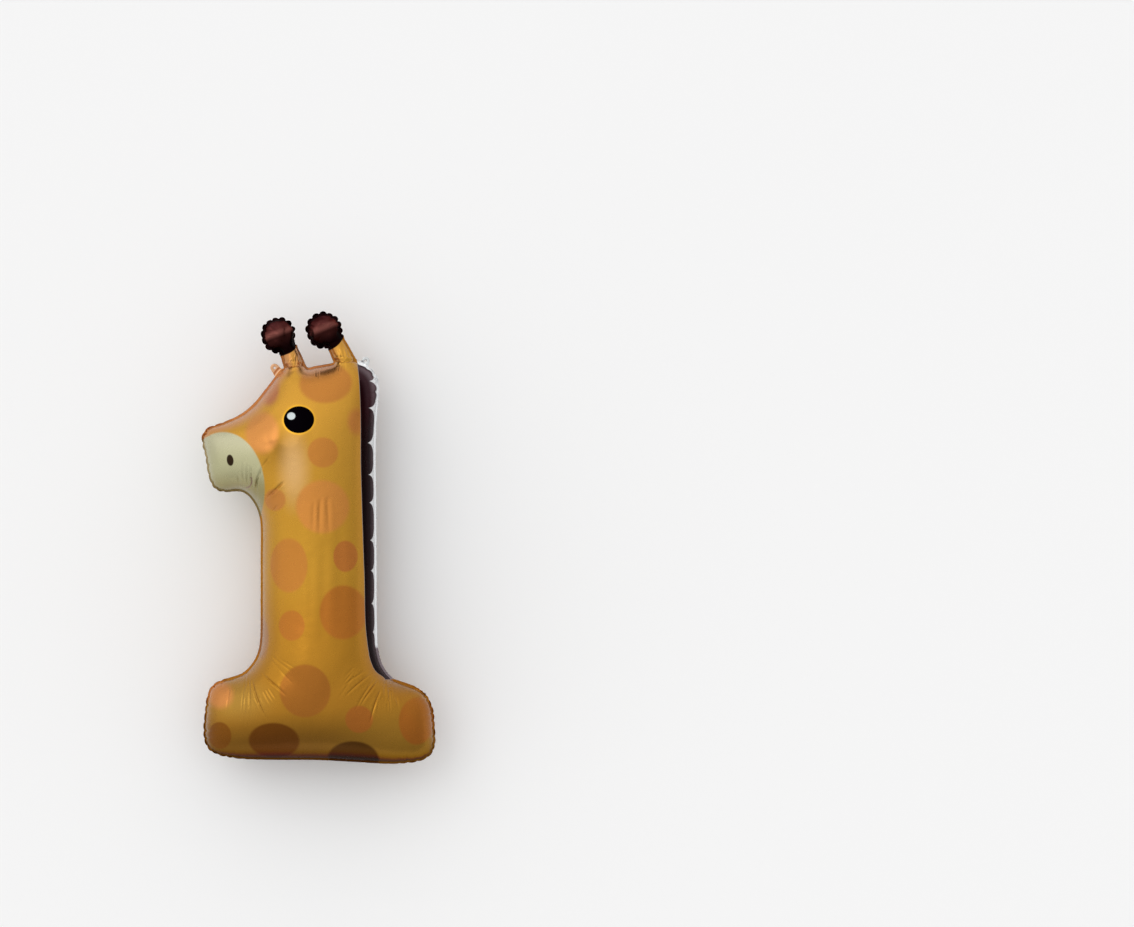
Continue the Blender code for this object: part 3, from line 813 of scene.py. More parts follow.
def vertex_normals(points, triangles):
    """Unit normals at the points, from the triangles round each."""
    corner = points[triangles]
    facing = np.cross(corner[:, 1] - corner[:, 0], corner[:, 2] - corner[:, 0])
    summed = np.stack([
        np.bincount(triangles.ravel(), np.repeat(facing[:, k], 3), len(points)) for k in range(3)
    ], axis=1)
    return summed / np.maximum(np.linalg.norm(summed, axis=1), LEAST)[:, None]


def turned_horn(places, flat, horn):
    """The places with one horn turned about its own length, more and more from its foot to its knob."""
    foot, along, across, _ = horn_frame(horn)
    offset = flat - foot
    climb, side = offset @ along, offset @ across
    share = np.clip(climb / (TURN_STRETCH * horn["reach"]), 0, 1)
    share = share * share * (3 - 2 * share)
    on_neck = (np.abs(side) < HORN_BASE_WIDTH / 2 + HORN_MARGIN) & (climb < horn["reach"])
    on_knob = np.hypot(climb - horn["reach"], side + KNOB_OFFSET) < KNOB_RADIUS + KNOB_MARGIN
    angle = -horn["turn"] * share * (on_neck | on_knob)
    moved = places.copy()
    reach = places[:, :2] - foot
    side, lift = reach @ across, places[:, 2]
    turned = side * np.cos(angle) - lift * np.sin(angle)
    moved[:, :2] += (turned - side)[:, None] * across
    moved[:, 2] = side * np.sin(angle) + lift * np.cos(angle)
    return moved


def noise_over(flat, scale, seed):
    """Smooth noise from about -1 to 1 over the sheet."""
    return np.array([noise.noise(Vector((x * scale, y * scale, seed))) for x, y in flat])


def pressed_in(sheet, seam, puckers, sizes, front):
    """How far each point is pressed in.

    The gathers, the film's unevenness, the knobs' dents and the creases add up."""
    flat, arc = sheet.points, sheet.arc
    knob = seam.at(seam.on_knob, sheet.along)
    pressed = sizes.pucker_depth * puckers.press(sheet.along, arc) * (1 - KNOB_SHALLOWER * knob)
    crumple = noise_over(flat, COARSE_NOISE, COARSE_SEED * front)
    crumple += FINE_SHARE * noise_over(flat, FINE_NOISE, FINE_SEED * front)
    pressed += sizes.crumple_depth * crumple * np.clip(arc / CRUMPLE_FADE, 0, 1)
    dents = noise_over(flat, COARSE_NOISE, DENT_SEED + DENT_SEED_STEP * front)
    pressed += sizes.knob_dent * dents * np.clip(arc / DENT_FADE, 0, 1) * knob
    for crease in CREASES:
        if front > 0 or crease.both:
            pressed += sizes.crease_depth * crease.press(flat)
    return pressed


def curled_weld(sheet, seam, puckers, sizes):
    """The weld, curled towards the front or the back, crest by crest, while its tabs stay flat."""
    strength, knob = seam.at(puckers.strength, sheet.along), seam.at(seam.on_knob, sheet.along)
    lean = puckers.lean(sheet.along)
    crest = puckers.crest(sheet.along) * np.sign(lean + CURL_BIAS)
    curl = strength * (sizes.lean * lean + sizes.curl * crest)
    beside_mane = (sheet.points[:, 0] > in_metres(MANE_INSIDE)) & (knob < 0.5)
    curl -= sizes.weld_fall * (1 - strength) * np.where(beside_mane, MANE_FALL, 1.0)
    curl *= np.clip(sheet.distance / sizes.flange_width, 0, CURLING_WIDTHS)
    width = seam.at(flange_width(seam, puckers, sizes), sheet.along)
    on_tab = np.clip(sheet.distance / (Sheet.TAB_ROOT * width) - 1, 0, 1)
    curl *= 1 - on_tab * (1 - knob)
    root = np.column_stack([sheet.points, np.zeros(len(curl))]) - sheet.outward * sheet.distance[:, None]
    reach = sheet.outward * np.cos(curl)[:, None]
    reach[:, 2] = np.sin(curl)
    return root + reach * sheet.distance[:, None]


def blown_skin(sheet, seam, puckers, sizes, front):
    """One sheet of the balloon, blown up, gathered and creased. front is 1 or -1."""
    lift = front * (FOIL_GAP / 2 + sheet.height)
    base = np.column_stack([sheet.points, lift])
    normal = vertex_normals(base, np.vstack([sheet.strip, sheet.middle])) * front
    normal[:sheet.weld_count] = sheet.outward[:sheet.weld_count]
    moved = base - normal * pressed_in(sheet, seam, puckers, sizes, front)[:, None]
    curled = curled_weld(sheet, seam, puckers, sizes)
    curled[:, 2] += lift
    moved[sheet.in_weld] = curled[sheet.in_weld]
    moved[:, 2] += sizes.seam_wander * puckers.zigzag(sheet.along) * np.exp(-sheet.arc / WANDER_REACH)
    return moved


def flattened(backs, tallest, rest_flat):
    """The back, softly flattened where the balloon's weight rests on it."""
    deepest = math.sqrt(tallest**2 - (rest_flat / 2) ** 2)
    knee = KNEE * deepest
    drop = -backs[:, 2]
    eased_drop = knee + (deepest - knee) * np.tanh((drop - knee) / (deepest - knee))
    backs[:, 2] = -np.where(drop > knee, eased_drop, drop)
    return backs


def closed_faces(sheet):
    """The faces of both skins, joined round the weld's outer edge and round the holes of its tabs."""
    count = len(sheet.points)
    faces = np.vstack([sheet.weld, sheet.strip, sheet.middle])
    corner = sheet.points[faces]
    area = np.cross(corner[:, 1] - corner[:, 0], corner[:, 2] - corner[:, 0])
    faces = np.where((area < 0)[:, None], faces[:, ::-1], faces)
    edges = {(int(a), int(b)) for face in faces for a, b in zip(face, np.roll(face, -1))}
    rim = []
    for a, b in edges:
        if (b, a) not in edges:
            rim += [(b, a, count + a), (b, count + a, count + b)]
    return np.vstack([faces, count + faces[:, ::-1], np.array(rim)])


def build_envelope(sizes):
    """The whole balloon as one closed mesh object. Each point keeps its place in the print."""
    seam = Seam()
    puckers = Puckers(seam, sizes)
    film = Film(seam)
    sheet = Sheet(seam, puckers, film, sizes)
    fronts, backs = (blown_skin(sheet, seam, puckers, sizes, front) for front in (1, -1))
    backs = flattened(backs, math.sqrt(film.square.max()), sizes.rest_flat)
    skins = [turned_horn(skin, sheet.points, LEFT_HORN) for skin in (fronts, backs)]

    corners, faces = np.vstack(skins), closed_faces(sheet)
    used = np.zeros(len(corners), bool)
    used[faces.ravel()] = True
    faces = (np.cumsum(used) - 1)[faces]
    place = np.vstack([sheet.points, sheet.points])
    behind_seam = np.tile(np.where(sheet.in_weld, -sheet.distance, sheet.distance), 2)
    side = np.repeat([1.0, -1.0], len(sheet.points))
    arc = np.tile(sheet.arc, 2)

    corners = corners[used]
    box_middle = (np.array(CAD_BOX[0]) + np.array(CAD_BOX[1])) / 2
    low, high = corners.min(axis=0), corners.max(axis=0)
    corners[:, :2] += box_middle[:2] - (low[:2] + high[:2]) / 2
    corners[:, 2] -= low[2]

    mesh = bpy.data.meshes.new("foil_envelope")
    mesh.from_pydata(corners.tolist(), [], faces.tolist())
    mesh.validate()
    mesh.shade_smooth()
    store(mesh, "print_place", np.column_stack([place, np.zeros(len(place))])[used])
    store(mesh, "weld_place", np.column_stack([behind_seam, side, arc])[used])
    balloon = bpy.data.objects.new("foil_envelope", mesh)
    bpy.context.scene.collection.objects.link(balloon)
    return balloon


def store(mesh, name, vectors):
    """A vector for each point of the mesh, for its material to read."""
    attribute = mesh.attributes.new(name, "FLOAT_VECTOR", "POINT")
    attribute.data.foreach_set("vector", vectors.astype(np.float32).ravel())


# Materials

def add_node(tree, kind, inputs=None, **settings):
    """One node with its settings. inputs gives each socket a value or the output that feeds it."""
    made = tree.nodes.new(kind)
    for name, value in settings.items():
        setattr(made, name, value)
    for key, value in (inputs or {}).items():
        if isinstance(value, bpy.types.NodeSocket):
            tree.links.new(value, made.inputs[key])
        else:
            made.inputs[key].default_value = value
    return made


# Spots: centre and half sizes in thousandths of the figure's height, the ink, and how soft the edge is.
# Painted light among them: the light orange one at the foot's upper left corner is a spot lightened into a
# painted
# highlight, and the pinkish one over the stem's left seam is a painted glare.
SPOTS_AND_GLARE = [
    ((15, 842), (58, 44), "#b57435", 0.12), ((84, 757), (19, 28), "#bf793c", 0.40),
    ((11, 689), (33, 33), "#bd7a36", 0.10), ((10, 570), (58, 58), "#cb853f", 0.10),
    ((-95, 585), (24, 24), "#bb7a3c", 0.16), ((-65, 441), (42, 59), "#ba7834", 0.08),
    ((60, 461), (26, 34), "#b76d32", 0.08), ((55, 338), (51, 59), "#af6927", 0.08),
    ((-58, 309), (29, 33), "#b06c2a", 0.08), ((-28, 166), (56, 58), "#995e23", 0.06),
    ((90, 103), (30, 30), "#a25f25", 0.10), ((215, 97), (38, 52), "#a05d20", 0.08),
    ((-219, 65), (26, 30), "#774612", 0.08), ((-98, 55), (56, 40), "#63360b", 0.08),
    ((75, 14), (56, 40), "#4c2b0a", 0.08), ((-220, 155), (29, 29), "#c58045", 0.35),
    ((-127, 280), (16, 44), "#a5764b", 0.20), ((-111, 829), (22, 34), "#ae6a48", 0.30),
    ((-124, 733), (37, 46), "#c88547", 0.22),
]
# Soft patches over the ground ink: place, half sizes and ink.
# The first is painted shade on the cheek, and the second a painted sheen from the cheek down to the neck.
# The last two lighten the ground's tone at the foot.
SHADE_SHEEN_AND_TONE_PATCHES = [
    ((-82, 704), (44, 44), "#6f4c18"), ((-52, 648), (26, 60), "#dcb27c"),
    ((190, 60), (110, 60), "#a5792b"), ((-184, 146), (60, 36), "#a5823c"),
]
PATCH_SOFTNESS = 0.9
PATCH_STRENGTH, SPOT_STRENGTH, RIM_HIGHLIGHT_STRENGTH, RING_STRENGTH, SMILE_STRENGTH = 0.6, 0.9, 0.75, 0.8, 0.85
# Where the painted highlight along the forehead's rim comes in: up the figure, across it and from the seam.
RIM_HIGHLIGHT_UP, RIM_HIGHLIGHT_ACROSS, RIM_HIGHLIGHT_DEPTH = (0.515, 0.555), (0.050, 0.000), (0.020, 0.004)
# The ground ink's tone at shares of the figure's height, deeper towards the foot as print and as painted
# shade.
GROUND_AND_SHADE_TONES = [
    (0.0, "#6a4716"), (0.05, "#7f571b"), (0.14, "#a57223"), (0.28, "#b07b25"), (0.45, "#be8b2e"),
    (0.85, "#c69136"),
]
# The muzzle's cream ink, darker towards the chin as painted shade.
CREAM_AND_SHADE_TONES = [(0.60, "#978d60"), (0.66, "#b3b08a"), (0.73, "#bbb798")]
# The face: centre and half sizes in thousandths of the figure's height, how soft the edge is, and any tilt.
MUZZLE_PATCH = ((-212, 612), (94, 122), 0.02)
NOSTRIL = ((-195, 672), (7.6, 12.4), 0.12, math.radians(8))
EYE, EYE_RING = ((-42, 761), (33.6, 29.6), 0.015), ((-42, 761), (37.5, 33.5), 0.05)
GLINT = ((-59, 769), (9, 8), 0.12)
SMILE_OUTSIDE, SMILE_INSIDE = ((-160, 626), (13.6, 15.6), 0.06), ((-160, 626.5), (11.2, 13.2), 0.07)
SMILE_START, SMILE_TOP = (-0.1300, -0.1285), (0.5085, 0.5065)
# The mane's front edge: share of the figure's height, and thousandths across.
MANE_EDGE = [
    (0.0, 300), (0.19, 145), (0.217, 119), (0.273, 106), (0.417, 100), (0.64, 93), (0.838, 89), (0.879, 84),
    (1.0, 60),
]
MANE_EDGE_REACH = 300
# The mane's ink comes in over these stretches across its front edge and up the figure.
# Painted shade darkens the ground ink before the edge.
MANE_INK_EDGE, MANE_END = (-0.0006, 0.0006), (0.150, 0.151)
MANE_SHADE, MANE_SHADE_REACH, MANE_SHADE_STRENGTH = "#9a6220", (-0.018, 0.0), 0.35
# Tips of the cuts of bare foil between the mane's lobes: share of the figure's height, and millimetres along
# the skin from the seam.
MANE_CUTS = [
    (0.902, 24), (0.848, 31), (0.788, 47), (0.710, 43), (0.640, 42), (0.578, 40), (0.495, 34), (0.428, 34),
    (0.355, 31), (0.292, 26), (0.226, 22),
]
MANE_CUTS_REACH = 60
CUT_EDGE, LOBE_SOFTNESS = (0.0005, 0.0020), 0.02  # from the cuts' line to the full ink, and a lobe's own edge
LOBE_TO_SEAM = 3  # millimetres
# Two neighbours overlap a little, so that the cut between them comes to a point. They meet this far from the
# seam's side, in their own half sizes.
LOBE_OVERLAP, LOBE_MEETING = 1.04, 0.725
MANE_LOW_END = (0.212, 0.204)  # below this the dark print covers the weld too
OFF_WELD = (0.0, 0.0002)  # above it, the dark print begins this far behind the seam
# The hair is dark brown print at the front edge and turns greyer towards the seam as a painted reflection.
HAIR_AND_SHEEN_TONES = [(0.0, "#1d070b"), (0.40, "#3b282c"), (0.90, "#7a6e72")]  # from the front edge to the seam
HAIR_SHEEN_REACH = (0.060, 0.015)
# Painted light and shade slant over each knob's brown ink: its tones, how it slants and how far it reaches.
# Black at the foot, a painted highlight band across the middle and purple brown above.
KNOB_LIGHT_AND_SHADE_TONES = [(0.10, "#100405"), (0.42, "#2c1210"), (0.58, "#6e3f39"), (0.72, "#4d2523"), (0.95, "#3a1a1c")]
KNOB_SLANT, KNOB_LIGHT_REACH = 0.4, 0.032
KNOB_INK_MARGIN, KNOB_SOFTNESS = 0.0085, 0.012
# The tabs' inks: centre and half sizes in thousandths of the figure's height, and the ink.
TAB_INKS = [((106, 897), (17, 15), "#c9cccc"), ((-104, 877), (19, 21), "#cf9f78")]
TAB_SOFTNESS = 0.05
# Depths behind the seam, below 0 in the weld: the inks of the tabs, of the knobs' weld and of the whole weld
# begin at the first and are full at the second.
TAB_DEPTH, KNOB_WELD_DEPTH, WELD_DEPTH = (-0.0034, -0.0040), (0.0012, -0.0002), (0.0002, -0.0006)
# Painted shade at the foot's underside: the sheen darkens over this stretch towards the foot.
FOOT_SHEEN_SHADE = (0.050, 0.010)  # the dark sheen grows over this stretch towards the foot
BUMP_STRENGTH = 0.12
PAPER_FIBRE = 0.0025  # coarser than real paper's, so that it shows
FIBRE_SHADE, PAPER_ROUGHNESS, PAPER_GLOSS = 0.985, 0.9, 0.1


def socket_colour(ink):
    """The value that a colour socket takes, from a hex code or a property's colour. A node's output stays."""
    if isinstance(ink, str):
        ink = linear(ink)
    return (*ink, 1.0) if isinstance(ink, (tuple, Color)) else ink


class Print:
    """The print's node tree while it is drawn, with the places that its masks read."""

    def __init__(self, tree, finish):
        self.tree, self.finish = tree, finish
        self.place = add_node(tree, "ShaderNodeAttribute", attribute_name="print_place").outputs["Vector"]
        weld = add_node(tree, "ShaderNodeAttribute", attribute_name="weld_place").outputs["Vector"]
        split = add_node(tree, "ShaderNodeSeparateXYZ", {0: self.place})
        weld_split = add_node(tree, "ShaderNodeSeparateXYZ", {0: weld})
        self.across, self.up = split.outputs["X"], split.outputs["Y"]
        self.depth, self.side, self.arc = (weld_split.outputs[axis] for axis in "XYZ")
        self.height = self.ramp(self.up, 0.0, FIGURE_HEIGHT)

    def ramp(self, value, start, end, smooth=False):
        """0 at start and 1 at end, and steady beyond them."""
        kind = "SMOOTHSTEP" if smooth else "LINEAR"
        made = add_node(
            self.tree, "ShaderNodeMapRange", {"Value": value, "From Min": start, "From Max": end},
            interpolation_type=kind,
        )
        return made.outputs[0]

    def join(self, first, second, operation="MULTIPLY"):
        """Two masks or values, joined by the named sum."""
        return add_node(self.tree, "ShaderNodeMath", {0: first, 1: second}, operation=operation).outputs[0]

    def disc(self, centre, half_sizes, soft, tilt=0.0, place=None):
        """A mask that is 1 inside an ellipse, placed and sized in thousandths of the figure's height."""
        x, y = in_metres(centre)
        a, b = in_metres(half_sizes)
        shape = {"Location": (x, y, 0), "Rotation": (0, 0, tilt), "Scale": (a, b, 1)}
        local = add_node(
            self.tree, "ShaderNodeMapping", {"Vector": place or self.place, **shape}, vector_type="TEXTURE"
        )
        far = add_node(self.tree, "ShaderNodeVectorMath", {0: local.outputs[0]}, operation="LENGTH")
        return self.ramp(far.outputs["Value"], 1 + soft, 1 - soft, smooth=True)

    def over(self, under, ink, mask, strength=1.0, blend="MIX"):
        """One ink printed over another where the mask says."""
        if strength != 1.0:
            mask = self.join(mask, strength)
        inputs = {"Factor": mask, "A": socket_colour(under), "B": socket_colour(ink)}
        mixed = add_node(self.tree, "ShaderNodeMix", inputs, data_type="RGBA", blend_type=blend)
        return mixed.outputs["Result"]

    def curve(self, value, points, reach):
        """A value that follows a share from 0 to 1 through the points. reach is the most that it can be."""
        made = add_node(self.tree, "ShaderNodeFloatCurve", {"Value": value})
        placed = made.mapping.curves[0].points
        while len(placed) < len(points):
            placed.new(0.5, 0.5)
        for point, (share, size) in zip(placed, sorted(points)):
            point.location = (share, size / reach)
        made.mapping.update()
        return self.join(made.outputs[0], reach)

    def tones(self, value, stops):
        """A colour that follows a value from 0 to 1 through the stops."""
        made = add_node(self.tree, "ShaderNodeValToRGB", {0: value})
        elements = made.color_ramp.elements
        made.color_ramp.interpolation = "EASE"
        while len(elements) < len(stops):
            elements.new(0.5)
        for element, (position, code) in zip(elements, stops):
            element.position = position
            element.color = (*linear(code), 1.0)
        return made.outputs[0]


def ground_spots_and_painted_light(sheet):
    """Yellow, deeper towards the foot as print and painted shade, with soft brown spots and painted shade,
    sheen and highlights.
    """
    colour = sheet.tones(sheet.height, GROUND_AND_SHADE_TONES)
    for centre, half, ink in SHADE_SHEEN_AND_TONE_PATCHES:
        colour = sheet.over(colour, ink, sheet.disc(centre, half, PATCH_SOFTNESS), PATCH_STRENGTH)
    for centre, half, ink, soft in SPOTS_AND_GLARE:
        colour = sheet.over(colour, ink, sheet.disc(centre, half, soft), SPOT_STRENGTH)
    forehead = sheet.join(sheet.ramp(sheet.up, *RIM_HIGHLIGHT_UP), sheet.ramp(sheet.across, *RIM_HIGHLIGHT_ACROSS))
    rim = sheet.ramp(sheet.depth, *RIM_HIGHLIGHT_DEPTH, smooth=True)
    return sheet.over(colour, sheet.finish.rim_highlight, sheet.join(forehead, rim), RIM_HIGHLIGHT_STRENGTH)


def muzzle_patch(sheet, colour):
    """The cream patch of the muzzle, darker towards the chin as painted shade, with its nostrils."""
    cream = sheet.tones(sheet.height, CREAM_AND_SHADE_TONES)
    colour = sheet.over(colour, cream, sheet.disc(*MUZZLE_PATCH))
    return sheet.over(colour, sheet.finish.nostril, sheet.disc(*NOSTRIL))


def mouth(sheet, colour):
    """A short smile at the muzzle's corner, on the front alone."""
    outside, within = sheet.disc(*SMILE_OUTSIDE), sheet.disc(*SMILE_INSIDE)
    stroke = sheet.ramp(sheet.join(outside, within, "SUBTRACT"), 0.0, 1.0)
    for mask in (sheet.ramp(sheet.across, *SMILE_START), sheet.ramp(sheet.up, *SMILE_TOP), sheet.side):
        stroke = sheet.ramp(sheet.join(stroke, mask), 0.0, 1.0)
    return sheet.over(colour, sheet.finish.smile, stroke, SMILE_STRENGTH)


def eyes(sheet, colour):
    """Black with a thin bright ring and a printed glint. Returns the eye's mask too."""
    eye = sheet.disc(*EYE)
    colour = sheet.over(colour, sheet.finish.eye_ring, sheet.disc(*EYE_RING), RING_STRENGTH)
    colour = sheet.over(colour, sheet.finish.eye, eye)
    return sheet.over(colour, sheet.finish.glint, sheet.disc(*GLINT)), eye


def mane_lobes(sheet):
    """A mask of the mane's lobes: what lies in front of the cuts, and an ellipse between each two cuts."""
    cut = sheet.join(sheet.curve(sheet.height, MANE_CUTS, MANE_CUTS_REACH), 0.001)
    lobes = sheet.ramp(sheet.join(sheet.arc, cut, "SUBTRACT"), *CUT_EDGE)
    along_skin = add_node(sheet.tree, "ShaderNodeCombineXYZ", {0: sheet.arc, 1: sheet.up}).outputs[0]
    for (top, top_cut), (low, low_cut) in zip(MANE_CUTS, MANE_CUTS[1:]):
        half = ((top_cut + low_cut) / 2 - LOBE_TO_SEAM) / LOBE_MEETING
        centre = ((LOBE_TO_SEAM + half) / FIGURE_HEIGHT, 1000 * (top + low) / 2)
        size = (half / FIGURE_HEIGHT, LOBE_OVERLAP * 1000 * (top - low) / 2)
        lobes = sheet.join(lobes, sheet.disc(centre, size, LOBE_SOFTNESS, place=along_skin), "MAXIMUM")
    return lobes


def mane(sheet, colour):
    """Dark lobes over bare silver foil beyond the mane's front edge, with painted reflection and shade.
    Returns the lobes' mask too.
    """
    front_edge = sheet.join(sheet.curve(sheet.height, MANE_EDGE, MANE_EDGE_REACH), FIGURE_HEIGHT / 1000)
    beyond = sheet.join(sheet.across, front_edge, "SUBTRACT")
    whole = sheet.join(sheet.ramp(beyond, *MANE_INK_EDGE), sheet.ramp(sheet.up, *MANE_END))
    low_end = sheet.ramp(sheet.up, *MANE_LOW_END)
    off_weld = sheet.join(sheet.ramp(sheet.depth, *OFF_WELD), low_end, "MAXIMUM")
    lobes = sheet.join(sheet.join(sheet.join(mane_lobes(sheet), low_end, "MAXIMUM"), whole), off_weld)
    # The hair's tones grow greyer towards the seam as a painted reflection.
    hair_and_sheen = sheet.tones(sheet.ramp(sheet.arc, *HAIR_SHEEN_REACH), HAIR_AND_SHEEN_TONES)
    # Painted shade on the ground ink just before the mane's edge.
    colour = sheet.over(colour, MANE_SHADE, sheet.ramp(beyond, *MANE_SHADE_REACH), MANE_SHADE_STRENGTH)
    colour = sheet.over(colour, sheet.finish.bare_foil, whole)
    return sheet.over(colour, hair_and_sheen, lobes), lobes


def knobs(sheet, colour):
    """Dark brown knobs with painted shade at the foot and a painted highlight band, darkest in the weld.
    Returns their mask too.
    """
    both = 0.0
    radius = (KNOB_RADIUS + KNOB_INK_MARGIN) / FIGURE_HEIGHT * 1000
    for horn in (LEFT_HORN, RIGHT_HORN):
        centre = horn_frame(horn)[3]
        disc = sheet.disc(centre / FIGURE_HEIGHT * 1000, (radius, radius), KNOB_SOFTNESS)
        slope = sheet.join(sheet.up, sheet.join(sheet.across, -KNOB_SLANT), "ADD")
        middle = centre[1] - KNOB_SLANT * centre[0]
        light = sheet.ramp(slope, middle - KNOB_LIGHT_REACH, middle + KNOB_LIGHT_REACH)
        brown = sheet.tones(light, KNOB_LIGHT_AND_SHADE_TONES)
        brown = sheet.over(brown, sheet.finish.knob_weld, sheet.ramp(sheet.depth, *KNOB_WELD_DEPTH))
        colour = sheet.over(colour, brown, disc)
        both = sheet.join(disc, both, "MAXIMUM")
    return colour, both


def tabs(sheet, colour):
    """Bare foil on the mane's side, and a pale tint on the other."""
    outside = sheet.ramp(sheet.depth, *TAB_DEPTH)
    for centre, half, ink in TAB_INKS:
        colour = sheet.over(colour, ink, sheet.join(sheet.disc(centre, half, TAB_SOFTNESS), outside))
    return colour


def printed_film(finish):
    """Metallised nylon film, printed with translucent inks.

    The ink tints the metal, whose satin face mirrors the room softly. Dark inks stay dark at a slant."""
    material = bpy.data.materials.new("printed_metallised_film")
    material.use_nodes = True
    tree = material.node_tree
    shader = tree.nodes["Principled BSDF"]
    sheet = Print(tree, finish)
    # Besides the print, the colour holds painted shade, sheen, glare and highlights.
    colour = mouth(sheet, muzzle_patch(sheet, ground_spots_and_painted_light(sheet)))
    colour, eye = eyes(sheet, colour)
    # The weld is pressed flat, which dulls its print.
    welded = sheet.ramp(sheet.depth, *WELD_DEPTH)
    colour = sheet.over(colour, finish.weld_shade, welded, blend="MULTIPLY")
    colour, lobes = mane(sheet, colour)
    colour, brown = knobs(sheet, colour)
    tree.links.new(tabs(sheet, colour), shader.inputs["Base Color"])
    # The sheen is dark on the dark inks, and darkens towards the foot as painted shade.
    dark = sheet.ramp(sheet.up, *FOOT_SHEEN_SHADE)
    for mask in (lobes, brown, eye):
        dark = sheet.join(dark, mask, "MAXIMUM")
    tree.links.new(sheet.over("#ffffff", finish.dark_sheen, dark), shader.inputs["Specular Tint"])
    shader.inputs["Metallic"].default_value = finish.metallic
    shader.inputs["Specular IOR Level"].default_value = finish.clear_layer

    body_place = add_node(tree, "ShaderNodeTexCoord").outputs["Object"]
    mottle = add_node(
        tree, "ShaderNodeTexNoise", {"Vector": body_place, "Scale": 1 / finish.mottle_size, "Detail": 3.0}
    )
    rough = add_node(
        tree, "ShaderNodeMapRange",
        {"Value": mottle.outputs["Fac"], "To Min": finish.least_roughness, "To Max": finish.most_roughness},
    )
    tree.links.new(rough.outputs[0], shader.inputs["Roughness"])
    # The sealing bar leaves fine ribs in the weld. A wave texture of scale 1 repeats 20 times in 2 pi metres.
    ribs = add_node(
        tree, "ShaderNodeTexWave", {"Vector": body_place, "Scale": 2 * math.pi / 20 / finish.rib_pitch},
        bands_direction="DIAGONAL",
    )
    relief = sheet.join(sheet.join(ribs.outputs["Fac"], welded), mottle.outputs["Fac"], "ADD")
    bump = add_node(
        tree, "ShaderNodeBump", {"Strength": BUMP_STRENGTH, "Distance": finish.relief, "Height": relief}
    )
    tree.links.new(bump.outputs[0], shader.inputs["Normal"])
    return material


def matt_floor(colour):
    """Seamless matt paper, which takes soft shadows and no gloss."""
    material = bpy.data.materials.new("matt_paper")
    material.use_nodes = True
    tree = material.node_tree
    shader = tree.nodes["Principled BSDF"]
    place = add_node(tree, "ShaderNodeTexCoord").outputs["Object"]
    fibre = add_node(tree, "ShaderNodeTexNoise", {"Vector": place, "Scale": 1 / PAPER_FIBRE, "Detail": 2.0})
    tone = add_node(
        tree, "ShaderNodeMix",
        {"Factor": fibre.outputs["Fac"], "A": (*[c * FIBRE_SHADE for c in colour], 1), "B": (*colour, 1)},
        data_type="RGBA",
    )
    tree.links.new(tone.outputs["Result"], shader.inputs["Base Color"])
    shader.inputs["Roughness"].default_value = PAPER_ROUGHNESS
    shader.inputs["Specular IOR Level"].default_value = PAPER_GLOSS
    return material


# Properties, operators and panel

def length_property(name, description, default):
    """A length in metres."""
    return FloatProperty(name=name, description=description, default=default, unit="LENGTH")


def angle_property(name, description, default):
    """An angle in radians, shown in degrees."""
    return FloatProperty(
        name=name, description=description, default=default, subtype="ANGLE", unit="ROTATION"
    )


def share_property(name, description, default):
    """A share from 0 to 1."""
    return FloatProperty(name=name, description=description, default=default, min=0.0, max=1.0)


def strength_property(name, description, default):
    """A strength from 0 up."""
    return FloatProperty(name=name, description=description, default=default, min=0.0)


def colour_property(name, description, code):
    """A colour that the user may change, from its sRGB hex value."""
    return FloatVectorProperty(
        name=name, description=description, default=linear(code), subtype="COLOR", size=3, min=0.0, max=1.0
    )


class FoilSizes(PropertyGroup):
    """Sizes of the weld, the tabs and the folds."""

    flange_width: length_property("Weld width", "Width of the weld outside the seam", 0.0040)
    mane_flange_width: length_property("Mane weld width", "Width of the weld beside the mane", 0.0044)
    tab_width: length_property("Tab width", "Width of a ribbon tab", 0.0150)
    tab_reach: length_property("Tab reach", "From the seam to the tab's round end", 0.0190)
    tab_hole_radius: length_property("Tab hole radius", "Radius of the hole for the ribbon", 0.0022)
    pucker_pitch: length_property("Pucker pitch", "Distance between gathers on a tight bend", 0.0150)
    knob_pitch: length_property("Knob pucker pitch", "Distance between gathers round a horn's knob", 0.0122)
    pucker_depth: length_property("Pucker depth", "How deep the valleys between gathers are", 0.0034)
    pucker_reach: length_property("Pucker reach", "How far the gathers run into the skin", 0.024)
    crease_depth: strength_property("Crease strength", "Multiplies the depth of every crease", 1.0)
    crumple_depth: length_property("Crumple depth", "Height of the small unevenness of the film", 0.0002)
    knob_dent: length_property("Knob dents", "Depth of the dents in the horns' knobs", 0.0034)
    seam_wander: length_property("Seam wander", "How far the gathered weld leaves its plane", 0.0024)
    petal_widening: share_property("Petal widening", "Extra width of the weld round a knob, as a share", 0.55)
    petal_unevenness: share_property("Petal unevenness", "How much that extra width varies, as a share", 0.7)
    notch: share_property("Notches", "Share of the weld's width that a gather's notch takes", 0.55)
    petal_notch: share_property("Petal notches", "Extra share that a notch takes round a knob", 0.30)
    lean: angle_property("Weld lean", "Angle by which the gathered weld leans", 0.30)
    curl: angle_property("Weld curl", "Further angle at the crests of the gathered weld", 0.28)
    weld_fall: angle_property("Weld fall", "Angle by which a straight weld hangs back", math.radians(18))
    rest_flat: length_property("Rest flat", "Width of the flat that the back lies on", 0.070)


